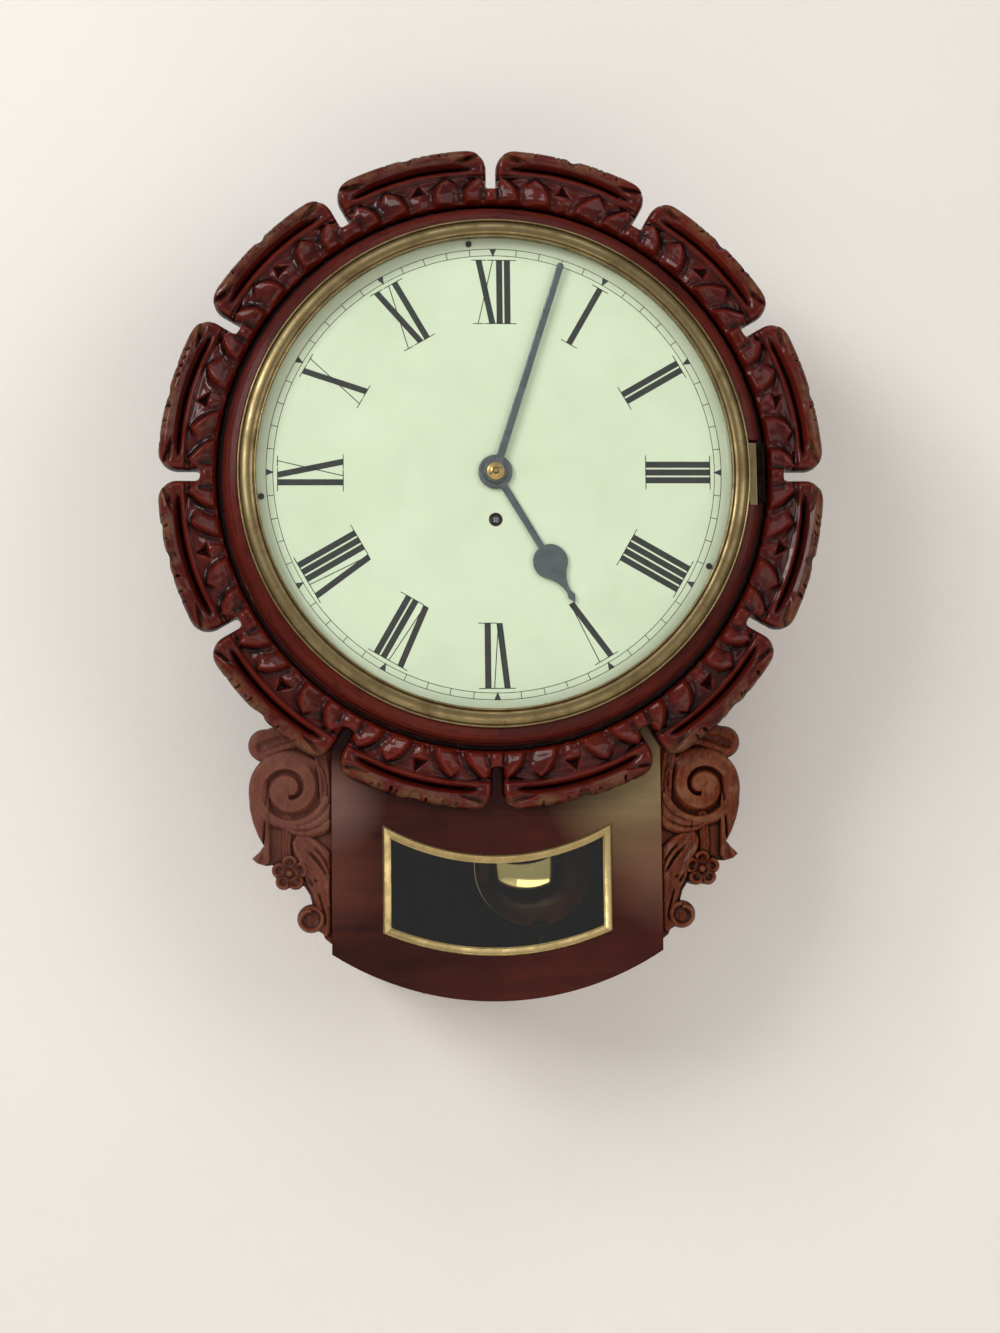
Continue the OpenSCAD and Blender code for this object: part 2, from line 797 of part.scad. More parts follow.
module back_board() {
  color(inner_wood)
    difference() {
      slab(back_in_z + seat_gap, dial_depth)
        case_outline(half_w);
      slab(dial_depth - hang_plate_t - loose_gap, dial_depth + 1)
        offset_plate(loose_gap);
      hang_screws(seat_gap);
    }
}

module bottom_curve(r_out, r_in, half) {
  intersection() {
    difference() {
      translate([0, bottom_y])
        circle(r_out, $fn = 360);
      translate([0, bottom_y])
        circle(r_in, $fn = 360);
    }
    translate([-half, -trunk_drop - 1])
      square([2 * half, trunk_drop + bottom_y]);
  }
}

// Part of a ring round the centre of the curved bottom, between two angles from straight down
module curve_sector(r_in, r_out, a0, a1) {
  intersection() {
    bottom_curve(r_out, r_in, half_w);
    translate([0, bottom_y])
      polygon([[0, 0], polar(2 * bottom_r, a0 - 90), polar(2 * bottom_r, a1 - 90)]);
  }
}

function curve_angle(length) = length / bottom_r * 180 / PI;
bottom_door_half = curve_angle(bottom_door_w / 2);
bottom_door_mid_z = (front_back_z + back_in_z) / 2;
bottom_door_z0 = bottom_door_mid_z - bottom_door_l / 2;
bottom_door_z1 = bottom_door_mid_z + bottom_door_l / 2;

module bottom_board() {
  color(mahogany)
    difference() {
      slab(front_back_z, back_in_z)
        bottom_curve(bottom_r, bottom_in_r, inside_w);
      slab(bottom_door_z0 - door_gap, bottom_door_z1 + door_gap)
        curve_sector(bottom_r - bottom_door_t - loose_gap, bottom_r + 1,
              -bottom_door_half - curve_angle(door_gap),
              bottom_door_half + curve_angle(door_gap));
      slab(bottom_door_z0 + door_lip, bottom_door_z1 - door_lip)
        curve_sector(bottom_in_r - 1, bottom_r,
              -bottom_door_half + curve_angle(door_lip),
              bottom_door_half - curve_angle(door_lip));
    }
}

module trunk_front() {
  color(mahogany)
    difference() {
      slab(trunk_z + seat_gap, front_back_z - seat_gap)
        difference() {
          case_outline(half_w);
          circle(front_arch_r, $fn = 360);
          translate([-half_w - 1, -front_arch_r * 0.6])
            square([case_w + 2, 2 * case_rise]);
        }
      slab(trunk_z - 1, window_lip_z)
        window_outline(0);
      slab(window_lip_z - 1, front_back_z + 1)
        window_outline(window_lip);
    }
}

module window_moulding() {
  color(brass)
    slab(trunk_z - moulding_proud, moulding_back_z)
      difference() {
        window_outline(loose_gap);
        window_outline(moulding_w);
      }
}

module window_glass() {
  color(clear_glass)
    slab(window_glass_z, window_glass_z + window_glass_t)
      window_outline(loose_gap);
}

// Ears, drawn for a height of 142 with the trunk's side as the upright line through 0
scroll_r = 25;
scroll_pitch = 12.4;
scroll_groove = 2.4;
petal_r = 5.2;
petals = 5;
small_scroll_r = 8.8;
ear_z = trunk_z + ear_setback;
ear_ground_z = ear_z + ear_relief;
ear_back_z = ear_z + ear_t;
scroll_at = [27, -198];
flower_at = [26.5, -250.5];
small_scroll_at = [13, -279];
leaf_roll_at = [42, -170];
leaf_roll_r = 10.3;

module ear_outline() {
  translate(scroll_at)
    circle(scroll_r, $fn = 96);
  translate(leaf_roll_at)
    circle(leaf_roll_r, $fn = round_fn);
  translate(small_scroll_at)
    circle(small_scroll_r, $fn = round_fn);
  flower_outline(0);
  polygon([[0.1, -158], [22, -153], [41, -159.8], [40, -180], scroll_at, [20, -226], [0.1, -229]]);
  polygon([
    [51.9, -200], [51.4, -210], [49.2, -219], [46, -227], [42.6, -233], [45, -236.5],
    [50, -241], [46.5, -244], [41, -245.6], [36, -245], [28, -240], [18, -228], scroll_at]);
  polygon([
    [0.1, -220], [20, -222], [32, -240], [24, -254], [17, -259], [13.8, -264], [12, -271],
    [14, -279], [9, -286.5], [5.4, -288.6], [4.4, -291.4], [0.1, -295]]);
}

module flower_outline(inset) {
  translate(flower_at)
    for (i = [0 : petals - 1])
      rotate(90 + i * 360 / petals)
        translate([petal_r * 1.2, 0])
          circle(petal_r - inset, $fn = 32);
}

// The scroll's groove: a band that opens out by the pitch in each turn
function scroll_groove_r(a) = 5 + scroll_pitch * a / 360;
module scroll_groove() {
  turns_end = 500;
  step = 12;
  n = turns_end / step;
  outer = [for (i = [0 : n])
    polar(scroll_groove_r(i * step) + scroll_groove / 2, -90 - i * step)];
  inner = [for (i = [0 : n])
    polar(scroll_groove_r((n - i) * step) - scroll_groove / 2, -90 - (n - i) * step)];
  translate(scroll_at)
    polygon(concat(outer, inner));
}

// Extrudes a drawing of the ear at the ear's real size and place
module ear_slab(z0, z1) {
  slab(z0, z1)
    translate([0, -ear_top])
      scale(ear_h / 142)
        translate([0, 153])
          children();
}

module right_ear() {
  ear_slab(ear_ground_z, ear_back_z)
    ear_outline();
  ear_slab(ear_z, ear_ground_z)
    difference() {
      translate(scroll_at)
        circle(scroll_r - 0.6, $fn = 96);
      scroll_groove();
    }
  ear_slab(ear_z + 1, ear_ground_z)
    translate(leaf_roll_at)
      circle(leaf_roll_r - 1.2, $fn = round_fn);
  ear_slab(ear_z + 0.6, ear_ground_z)
    flower_outline(0.8);
  ear_slab(ear_z - 1, ear_ground_z)
    translate(flower_at)
      circle(petal_r * 0.55, $fn = 32);
  ear_slab(ear_z + 0.5, ear_ground_z)
    translate(small_scroll_at)
      circle(small_scroll_r - 0.8, $fn = round_fn);
  ear_slab(ear_z + 1.5, ear_ground_z)
    polygon([[1, -222], [7, -232], [12, -246], [13, -262], [9, -276], [3, -284], [1, -262]]);
  ear_slab(ear_z + 2, ear_ground_z)
    polygon([[38, -222], [44, -226], [41, -233], [46, -241], [38, -243], [33, -234]]);
}

module carved_ears() {
  color(ear_wood)
    for (side = [0, 1])
      mirror([side, 0, 0])
        translate([half_w, 0, 0])
          right_ear();
}

// Plate with a round top that carries the hanging hole
module offset_plate(grow) {
  translate([-hang_plate_w / 2 - grow, hang_rise - hang_plate_down - grow])
    square([hang_plate_w + 2 * grow, hang_plate_down + grow]);
  translate([0, hang_rise - hang_plate_w / 2 + hang_plate_over])
    intersection() {
      circle(hang_plate_w / 2 + grow, $fn = 96);
      translate([-hang_plate_w, -hang_plate_w / 2 + hang_plate_w / 2 - hang_plate_over])
        square([2 * hang_plate_w, hang_plate_w]);
    }
}

hang_screw_points = [for (sx = [-1, 1], dy = [6, 16])
  [sx * (hang_plate_w / 2 - 7), hang_rise - hang_plate_down + dy]];
hang_screw_r = 1.8;
hang_screw_head = 3.4;

// Countersunk screws of the hanging plate, or their holes where grow is above 0
module hang_screws(grow) {
  for (p = hang_screw_points)
    translate([p[0], 0, p[1] - hang_rise])
      rotate([90, 0, 0]) {
        translate([0, 0, 0.1])
          cylinder(h = 1.5, r1 = hang_screw_head + grow, r2 = hang_screw_r + grow, $fn = 32);
        translate([0, 0, 1.5])
          cylinder(h = back_t - 2.5 + grow, r = hang_screw_r + grow, $fn = 32);
        if (grow > 0)
          translate([0, 0, -0.5])
            cylinder(h = 0.6 + grow, r = hang_screw_head + grow, $fn = 32);
      }
}

module hanging_plate() {
  color(brass)
    difference() {
      slab(dial_depth - hang_plate_t, dial_depth)
        difference() {
          offset_plate(0);
          translate([0, hang_rise])
            circle(hang_hole_r, $fn = round_fn);
        }
      hang_screws(seat_gap);
    }
}

module wood_screws() {
  color(brass)
    hang_screws(0);
}

// Leaf of a butt hinge. Its pin runs along Z through the origin and the leaf lies along +X,
// on the plane y = -knuckle_r. The middle leaf has one knuckle and the outer leaf has two.
module hinge_leaf(length, width, middle) {
  part_l = length / 3;
  cut = knuckle_r + 0.3;
  joint_gap = 0.15;
  spans = middle ? [[-part_l / 2 + joint_gap, part_l / 2 - joint_gap]]
         : [[-length / 2, -part_l / 2 - joint_gap], [part_l / 2 + joint_gap, length / 2]];
  difference() {
    union() {
      translate([cut, -knuckle_r, -length / 2])
        cube([width - cut, leaf_t, length]);
      for (s = spans) {
        translate([0, 0, s[0]])
          cylinder(h = s[1] - s[0], r = knuckle_r, $fn = round_fn);
        translate([0, -knuckle_r, s[0]])
          cube([cut + 0.5, leaf_t, s[1] - s[0]]);
      }
    }
    translate([0, 0, -length])
      cylinder(h = 2 * length, r = hinge_pin_r + (middle ? run_gap : seat_gap), $fn = round_fn);
  }
}

module hinge_pin(length) {
  translate([0, 0, -length / 2])
    cylinder(h = length, r = hinge_pin_r, $fn = round_fn);
}

// Side door, its hinges on the outer face of the right-hand side board
side_axis_x = half_w + knuckle_r + seat_gap;
side_hinge_heights = [for (s = [-1, 1]) side_door_mid + s * side_door_h * 0.32];

module side_door() {
  color(inner_wood)
    side_block(half_w - side_door_t, half_w, side_door_front_z, side_door_hinge_z,
         side_door_low, side_door_low + side_door_h);
}

module at_side_hinges() {
  for (y = side_hinge_heights)
    translate([side_axis_x, place(side_door_hinge_z + door_gap / 2), y - hang_rise])
      children();
}

module side_door_hinges() {
  color(brass)
    at_side_hinges() {
      rotate([0, 0, 90])
        mirror([0, 1, 0])
          hinge_leaf(door_hinge_l, door_leaf_w, false);
      hinge_pin(door_hinge_l);
    }
}

module side_door_leaves() {
  color(brass)
    at_side_hinges()
      rotate([0, 0, -90])
        hinge_leaf(door_hinge_l, door_leaf_w, true);
}

// Turned knob standing on the plane z = 0
module knob() {
  rotate_extrude($fn = round_fn)
    polygon([
      [0, 0], [knob_r * 0.8, 0], [knob_r * 0.8, 1], [knob_r * 0.36, 1.6],
      [knob_r * 0.36, knob_l * 0.45], [knob_r * 0.8, knob_l * 0.6], [knob_r, knob_l * 0.78],
      [knob_r * 0.7, knob_l * 0.96], [0, knob_l]]);
}

module side_door_knob() {
  color(brass)
    translate([half_w + seat_gap, place(side_door_front_z + 9), side_door_mid - hang_rise])
      rotate([0, 90, 0])
        knob();
}

// Bottom door: a piece of the curved board that is hinged along its left-hand edge
module at_curve(a, r) {
  translate([r * sin(a), 0, bottom_y - r * cos(a) - hang_rise])
    rotate([0, -a, 0])
      children();
}

bottom_axis_r = bottom_r + knuckle_r + 0.12;
// Both hinges sit towards the wall, where the front of the trunk hides them
bottom_hinge_depths = [for (s = [-0.04, 0.36]) bottom_door_mid_z + s * bottom_door_l];
bottom_axis_turn = -bottom_door_half - curve_angle(door_gap / 2);

module bottom_door() {
  color(mahogany)
    slab(bottom_door_z0, bottom_door_z1)
      curve_sector(bottom_r - bottom_door_t, bottom_r, -bottom_door_half, bottom_door_half);
}

module at_bottom_hinges() {
  for (z = bottom_hinge_depths)
    translate([0, place(z), 0])
      at_curve(bottom_axis_turn, bottom_axis_r)
        rotate([90, 0, 0])
          children();
}

module bottom_door_hinges() {
  color(brass)
    at_bottom_hinges() {
      rotate([0, 0, 180])
        hinge_leaf(door_hinge_l * 0.75, door_leaf_w * 0.75, false);
      hinge_pin(door_hinge_l * 0.75);
    }
}

module bottom_door_leaves() {
  color(brass)
    at_bottom_hinges()
      mirror([0, 1, 0])
        hinge_leaf(door_hinge_l * 0.75, door_leaf_w * 0.75, true);
}

module bottom_door_knob() {
  color(brass)
    translate([0, place(bottom_door_mid_z), 0])
      at_curve(bottom_door_half - curve_angle(8), bottom_r + seat_gap)
        rotate([180, 0, 0])
          scale(0.5)
            knob();
}

// Bezel: two bright bead lines with a hollow between, and a skirt that enters the surround
module bezel() {
  color(brass)
    difference() {
      turned(0, 120)
        polygon(concat(
          [[bezel_in_r, -lip_back_z], [bezel_skirt_in, -lip_back_z],
          [bezel_skirt_in, -skirt_end_z], [bezel_skirt_out, -skirt_end_z],
          [bezel_skirt_out, seat_rise], [bezel_out_r, seat_rise]],
          arc([bezel_out_r - bezel_bead_r, outer_bead_h], bezel_bead_r, 0, 180, 8),
          [[bezel_out_r - 3, outer_bead_h - 0.3], [bezel_in_r + 6, outer_bead_h - 0.1],
          [bezel_in_r + 3.6, outer_bead_h + 0.4]],
          arc([bezel_in_r + bezel_bead_r, inner_bead_h], bezel_bead_r, 0, 180, 8)));
      bezel_leaf_space();
    }
}

// Slot in the bezel's back for its hinge leaf
module bezel_leaf_space() {
  slab(bezel_seat_z - leaf_t - seat_gap, bezel_seat_z + 1)
    translate([bezel_skirt_out + 0.6, -bezel_hinge_l / 2 - seat_gap])
      square([bezel_out_r + 2 - bezel_skirt_out, bezel_hinge_l + 2 * seat_gap]);
}

module bezel_glass() {
  color(clear_glass)
    difference() {
      intersection() {
        glass_ball(0);
        turned(glass_back_z)
          square([glass_edge_r, bezel_glass_t + glass_rise + 5]);
      }
      glass_ball(bezel_glass_t);
    }
}

// The ball whose cap is the face of the glass, moved back by a depth
module glass_ball(deeper) {
  translate([0, place(glass_edge_z + deeper - glass_rise + glass_face_r), -hang_rise])
    rotate([90, 0, 0])
      sphere(glass_face_r, $fn = 720);
}

module glass_ring() {
  color(brass)
    turned(glass_back_z + seat_gap + glass_ring_t)
      translate([bezel_in_r + 0.6, 0])
        square([bezel_skirt_in - seat_gap - bezel_in_r - 0.6, glass_ring_t]);
}

// Places children on the bezel's hinge pin, with the leaf plane towards the wall
module at_bezel_hinge() {
  translate([bezel_pin_x, place(bezel_pin_z), -hang_rise])
    children();
}

module bezel_hinge_plate() {
  color(brass)
    at_bezel_hinge() {
      mirror([0, 1, 0])
        hinge_leaf(bezel_hinge_l, surround_out_r - bezel_pin_x - 0.3, false);
      hinge_pin(bezel_hinge_l);
    }
}

module bezel_hinge_leaf() {
  color(brass)
    at_bezel_hinge()
      mirror([1, 0, 0])
        bezel_middle_leaf();
}

// Moving leaf: it rises from the knuckle into the slot in the back of the bezel
module bezel_middle_leaf() {
  part_l = bezel_hinge_l / 3;
  leaf_end = bezel_pin_x - bezel_skirt_out - 0.8;
  leaf_y = bezel_seat_z - leaf_t - bezel_pin_z;
  difference() {
    union() {
      translate([0, 0, -part_l / 2 + 0.15])
        cylinder(h = part_l - 0.3, r = knuckle_r, $fn = round_fn);
      translate([bezel_pin_x - bezel_out_r + 0.3, leaf_y, -bezel_hinge_l / 2])
        cube([leaf_end - bezel_pin_x + bezel_out_r - 0.3, leaf_t, bezel_hinge_l]);
      translate([0, leaf_y, -part_l / 2 + 0.15])
        cube([bezel_pin_x - bezel_out_r + 0.8, leaf_t, part_l - 0.3]);
      translate([-0.2, leaf_y, -part_l / 2 + 0.15])
        cube([1.8, -leaf_y - hinge_pin_r, part_l - 0.3]);
    }
    translate([0, 0, -bezel_hinge_l])
      cylinder(h = 2 * bezel_hinge_l, r = hinge_pin_r + run_gap, $fn = round_fn);
  }
}

// Brass tongue at nine o'clock that the bezel's skirt closes round
module bezel_catch() {
  color(brass)
    slab(glass_back_z + glass_ring_t + 0.3, -seat_gap)
      rotate(180)
        sector(bezel_in_r + 0.4, bezel_skirt_in - 0.15, -2.5, 2.5, 4);
}

module dial_plate() {
  color(paint)
    slab(0, dial_t)
      difference() {
        circle(dial_r, $fn = ring_fn);
        circle(dial_hole_r, $fn = round_fn);
        translate(winding_at)
          circle(winding_hole_r, $fn = round_fn);
        for (a = dial_screw_turns)
          translate(polar(dial_screw_circle, 90 - a))
            circle(1.1, $fn = 24);
        for (p = foot_points)
          translate(p)
            circle(foot_r * 0.6 + seat_gap, $fn = 24);
      }
}

module dial_screws() {
  color(steel)
    for (a = dial_screw_turns)
      let (p = polar(dial_screw_circle, 90 - a)) {
        bar(p, -1.1, -seat_gap, dial_screw_head);
        bar(p, -0.2, dial_t + 8, 0.95);
      }
}

// Feet riveted in the dial, with a shoulder against the front plate
module dial_feet() {
  color(brass)
    difference() {
      for (p = foot_points) {
        bar(p, 0.1, dial_t + 0.2, foot_r * 0.6);
        bar(p, dial_t + seat_gap, front_plate_z - seat_gap, foot_r);
        bar(p, front_plate_z - 0.2, plate_in_z + 3, foot_r * 0.7);
      }
      for (p = foot_points)
        pin_at(p, plate_in_z + 0.8, 0);
    }
}

// Taper pin across a foot or a pillar, lying along X
pin_r = 0.55;
pin_l = 10;
module pin_at(p, z, grow) {
  translate([p[0] - pin_l / 2, place(z), p[1] - hang_rise])
    rotate([0, 90, 0])
      cylinder(h = pin_l, r1 = pin_r + grow, r2 = pin_r * 0.7 + grow, $fn = 24);
}

module taper_pins() {
  color(steel) {
    for (p = foot_points)
      pin_at(p, plate_in_z + 0.8, -seat_gap);
    for (p = pillar_points)
      pin_at(p, back_plate_end + 0.8, -seat_gap);
  }
}

module hand_shaft(length, w0, w1) {
  polygon([[-w0 / 2, 0], [w0 / 2, 0], [w1 / 2, length - w1], [0, length], [-w1 / 2, length - w1]]);
}

module minute_hand() {
  color(blued_steel)
    slab(minute_hand_z - hand_t, minute_hand_z)
      difference() {
        rotate(-minute_turn)
          union() {
            circle(minute_boss_r, $fn = round_fn);
            hand_shaft(minute_hand_l, 5, 4.2);
          }
        circle(centre_pivot_r + seat_gap, $fn = round_fn);
      }
}

module hour_hand() {
  neck = spade_at + spade_r * 1.55;
  color(blued_steel)
    slab(hour_hand_z - hand_t, hour_hand_z)
      difference() {
        rotate(-hour_turn)
          union() {
            circle(hour_boss_r, $fn = round_fn);
            hand_shaft(spade_at, 4.2, 3.4);
            translate([0, spade_at])
              circle(spade_r, $fn = round_fn);
            polygon([
              [-spade_r * 0.94, spade_at + spade_r * 0.36],
              [spade_r * 0.94, spade_at + spade_r * 0.36],
              [1.7, neck], [1.1, hour_hand_l - 8], [2.5, hour_hand_l - 4],
              [0, hour_hand_l], [-2.5, hour_hand_l - 4], [-1.1, hour_hand_l - 8],
              [-1.7, neck]]);
          }
        circle(hour_pipe_r + seat_gap, $fn = round_fn);
      }
}

module hand_collet() {
  color(brass)
    difference() {
      turned(collet_z - seat_gap)
        polygon([
          [centre_pivot_r + seat_gap, 0], [collet_r, 0], [collet_r, 0.8],
          [collet_r * 0.86, collet_h * 0.62], [collet_r * 0.55, collet_h * 0.9],
          [centre_pivot_r + seat_gap, collet_h]]);
      hand_pin_bar(seat_gap);
    }
}

// Pin through the centre arbor, across the collet
module hand_pin_bar(grow) {
  translate([0, place(collet_z - collet_h * 0.78), -hang_rise])
    rotate([0, 62, 0])
      translate([0, 0, -collet_r * 0.86])
        cylinder(h = collet_r * 1.72, r = hand_pin_r + grow, $fn = 24);
}

module hand_pin() {
  color(steel)
    hand_pin_bar(0);
}

module plate_2d() {
  translate([-plate_w / 2, -plate_bottom])
    square([plate_w, plate_top + plate_bottom]);
}

// Front plate, with the studs of the minute wheel and of the click riveted in
module front_plate() {
  color(brass) {
    slab(front_plate_z, plate_in_z)
      difference() {
        plate_2d();
        circle(centre_pivot_r + run_gap, $fn = round_fn);
        translate(winding_at)
          circle(winding_r + run_gap, $fn = round_fn);
        for (p = [intermediate_at, third_at, escape_at, pallet_at])
          translate(p)
            circle(pivot_r + run_gap, $fn = round_fn);
        for (p = foot_points)
          translate(p)
            circle(foot_r * 0.7 + seat_gap, $fn = round_fn);
        for (p = pillar_points)
          translate(p)
            circle(pillar_r * 0.5 + seat_gap, $fn = round_fn);
      }
    bar(minute_at, minute_pinion_z - 0.6, front_plate_z + 0.1, stud_r);
    bar(click_at, ratchet_z - 0.4, front_plate_z + 0.1, stud_r);
  }
}

module back_plate() {
  color(brass)
    slab(back_plate_z, back_plate_end)
      difference() {
        plate_2d();
        for (p = [centre_at, intermediate_at, third_at, escape_at])
          translate(p)
            circle(pivot_r + run_gap, $fn = round_fn);
        translate(winding_at)
          circle(winding_r + run_gap, $fn = round_fn);
        translate(pallet_at)
          circle(arbor_r + 2, $fn = round_fn);
        for (p = pillar_points)
          translate(p)
            circle(pillar_r * 0.5 + seat_gap, $fn = round_fn);
      }
}

// Pillars riveted in the front plate and pinned behind the back plate
module plate_pillars() {
  color(brass)
    difference() {
      for (p = pillar_points) {
        bar(p, front_plate_z + 0.2, back_plate_end + 3, pillar_r * 0.5);
        bar(p, plate_in_z + seat_gap, back_plate_z - seat_gap, pillar_r);
      }
      for (p = pillar_points)
        pin_at(p, back_plate_end + 0.8, 0);
    }
}

// Barrel: a drum with the great wheel on its back end
barrel_wall = 1.5;
cover_t = 1.6;
module barrel() {
  color(brass)
    difference() {
      union() {
        bar(winding_at, barrel_z, barrel_end, drum_r);
        slab(great_z, barrel_end)
          translate(winding_at)
            teeth_2d(great_teeth, great_module,
                heading(winding_at, intermediate_at));
      }
      bar(winding_at, barrel_z - 1, barrel_end - 2, drum_r - barrel_wall);
      bar(winding_at, barrel_z, barrel_end + 1, winding_r + run_gap);
    }
}

module barrel_cover() {
  color(brass)
    slab(barrel_z + 0.3, barrel_z + 0.3 + cover_t)
      translate(winding_at)
        difference() {
          circle(drum_r - barrel_wall - seat_gap, $fn = 96);
          circle(winding_r + run_gap, $fn = round_fn);
        }
}

// Mainspring: a spiral strip between the barrel's wall and the arbor
module mainspring() {
  r_out = drum_r - barrel_wall - 0.6 - spring_t;
  r_in = winding_r + 3;
  per_turn = 24;
  n = spring_turns * per_turn;
  function at(i, side) = polar(r_out + (r_in - r_out) * i / n + side * spring_t / 2,
                i * 360 / per_turn);
  color(steel)
    slab(barrel_z + cover_t + 1.2, barrel_end - 3)
      translate(winding_at) {
        polygon(concat([for (i = [0 : n]) at(i, 1)], [for (i = [0 : n]) at(n - i, -1)]));
        translate([r_out - 0.2, -1.2])
          square([drum_r - barrel_wall - seat_gap - r_out + 0.1, 2.4]);
      }
}

ratchet_t = 2.6;
ratchet_z = front_plate_z - ratchet_t - 0.3;

// Winding arbor with a square front end that the key fits
module winding_arbor() {
  half = winding_square / 2;
  color(steel) {
    bar(winding_at, ratchet_z, back_plate_end, winding_r);
    slab(dial_t * 0.4, ratchet_z)
      translate(winding_at - [half, half])
        square(winding_square);
    bar(winding_at, barrel_z + cover_t + 1, barrel_end - 2.6, winding_r + 1.6);
  }
}

// Ratchet wheel with hooked teeth, fixed on the winding arbor
module ratchet_wheel() {
  step = 360 / ratchet_teeth;
  color(steel)
    slab(ratchet_z, ratchet_z + ratchet_t)
      translate(winding_at)
        difference() {
          polygon([for (i = [0 : ratchet_teeth - 1], p = [[-1.8, 0], [0, 0.9]])
            polar(ratchet_r + p[0], (i + p[1]) * step)]);
          circle(winding_r + seat_gap, $fn = round_fn);
        }
}

// Places children with the click's stud at 0 and its beak along +X
beak_r = ratchet_r + 0.35;
beak_at = winding_at + polar(beak_r, click_turn + 1 - acos(beak_r / click_arm));
beak_reach = norm(beak_at - click_at);
module click_slab(z0, z1) {
  slab(z0, z1)
    translate(click_at)
      rotate(heading(click_at, beak_at))
        children();
}

// Click: a lever whose beak stands just outside the tips of the ratchet's teeth
module click() {
  color(steel)
    click_slab(ratchet_z, ratchet_z + ratchet_t - 0.4)
      difference() {
        union() {
          circle(3, $fn = round_fn);
          polygon([[0, 0], [beak_reach, 0], [beak_reach - 1.6, 2.6], [-7, 3], [-7, 1]]);
        }
        circle(stud_r + run_gap, $fn = round_fn);
      }
}

// Click spring: a flat blade outside the click, on a foot that stands on the front plate
module click_spring() {
  color(steel) {
    click_slab(ratchet_z, front_plate_z - seat_gap)
      translate([-10, 6])
        square([5, 3]);
    click_slab(ratchet_z + 0.2, ratchet_z + ratchet_t - 0.4)
      polygon([[-6, 6.4], [beak_reach - 2, 4.6], [beak_reach - 2, 5.1], [-6, 7]]);
  }
}

module gear_set(at, z, teeth, m, toward, hub) {
  slab(z, z + wheel_t)
    translate(at)
      wheel_2d(teeth, m, heading(at, toward), hub);
}

module pinion(at, z, length, leaves, m, toward) {
  slab(z, z + length)
    translate(at)
      teeth_2d(leaves, m, heading(at, toward) + 180 / leaves, 0.9);
}

module intermediate_wheel() {
  color(brass)
    gear_set(intermediate_at, intermediate_z, intermediate_teeth, intermediate_module,
        centre_at, 3.5);
  color(steel) {
    pinion(intermediate_at, intermediate_pinion_z, intermediate_pinion_l,
       intermediate_leaves, great_module, winding_at);
    arbor(intermediate_at, front_plate_z, back_plate_end, arbor_r);
  }
}

module centre_wheel() {
  color(brass)
    gear_set(centre_at, centre_z, centre_teeth, train_module, third_at, 4);
  color(steel)
    difference() {
      union() {
        pinion(centre_at, centre_pinion_z, pinion_l, centre_leaves, intermediate_module,
           intermediate_at);
        bar(centre_at, plate_in_z + 0.15, back_plate_z - 0.15, arbor_r);
        bar(centre_at, arbor_tip_z, plate_in_z + 0.5, centre_pivot_r);
        bar(centre_at, back_plate_z - 0.5, back_plate_end, pivot_r);
      }
      hand_pin_bar(seat_gap);
    }
}

module third_wheel() {
  color(brass)
    gear_set(third_at, third_z, third_teeth, train_module, escape_at, 3);
  color(steel) {
    pinion(third_at, third_pinion_z, pinion_l, third_leaves, train_module, centre_at);
    arbor(third_at, front_plate_z, back_plate_end, arbor_r * 0.75);
  }
}

module escape_wheel() {
  step = 360 / escape_teeth;
  color(brass)
    slab(escape_z, escape_z + wheel_t)
      translate(escape_at)
        crossed_2d(escape_r - 3.8, 2.6, 4, 20)
          polygon([for (i = [0 : escape_teeth - 1], p = [
            [escape_r - 2.2, 0], [escape_r, 0.42], [escape_r - 2.2, 0.62]])
            polar(p[0], (i + p[1]) * step)]);
  color(steel) {
    pinion(escape_at, escape_pinion_z, pinion_l, escape_leaves, train_module, third_at);
    arbor(escape_at, front_plate_z, back_plate_end, arbor_r * 0.65);
  }
}

// Pallets: an anchor whose nibs stay clear of the escape wheel's teeth at full swing
pallet_span = 54;
pallet_clear = 1.4 * escape_r * sin(rest_swing) * 0.82 + 0.6;
crutch_z = back_plate_end + 4;
crutch_l = 60;
module pallets() {
  nib_r = escape_r + pallet_clear;
  left = escape_at - pallet_at + polar(nib_r, 90 + pallet_span);
  right = escape_at - pallet_at + polar(nib_r, 90 - pallet_span);
  arm = [0, -2.2];
  color(steel)
    swung() {
      slab(escape_z - 0.5, escape_z + wheel_t + 0.5)
        translate(pallet_at) {
          circle(3.2, $fn = round_fn);
          polygon([[-2, 2], left + [-1, 5], left + [-1.6, 1.4], left, left + [1.4, 3.2],
              arm]);
          polygon([[2, 2], right + [1, 5], right + [1.6, 1.4], right,
              right + [-1.4, 3.2], arm]);
        }
      bar(pallet_at, plate_in_z + 0.15, cock_z - 0.15, arbor_r);
      bar(pallet_at, front_plate_z, plate_in_z + 0.5, pivot_r);
      bar(pallet_at, cock_z - 0.5, cock_z + cock_t, pivot_r);
      slab(crutch_z, crutch_z + 2.4)
        translate(pallet_at) {
          circle(3.2, $fn = round_fn);
          translate([-1.2, -crutch_l])
            square([2.4, crutch_l]);
          translate([-4.6, -crutch_l - 2.4])
            square([9.2, 2.6]);
        }
      for (sx = [-1, 1])
        bar(pallet_at + [sx * (rod_r + 1.1 + 0.25), -crutch_l - 1.1], crutch_z + 1,
          pendulum_z + rod_r + 3, 1.1);
    }
}

module cannon_pinion() {
  color(steel)
    difference() {
      union() {
        slab(cannon_z, cannon_z + cannon_tooth_l)
          teeth_2d(cannon_leaves, cannon_module, heading(centre_at, minute_at));
        bar(centre_at, minute_hand_z + seat_gap, cannon_z + 0.1, cannon_pipe_r);
        bar(centre_at, cannon_z + cannon_tooth_l - 0.1, front_plate_z - 0.2,
          cannon_pipe_r);
      }
      bar(centre_at, minute_hand_z - 1, front_plate_z, centre_pivot_r + seat_gap);
    }
}

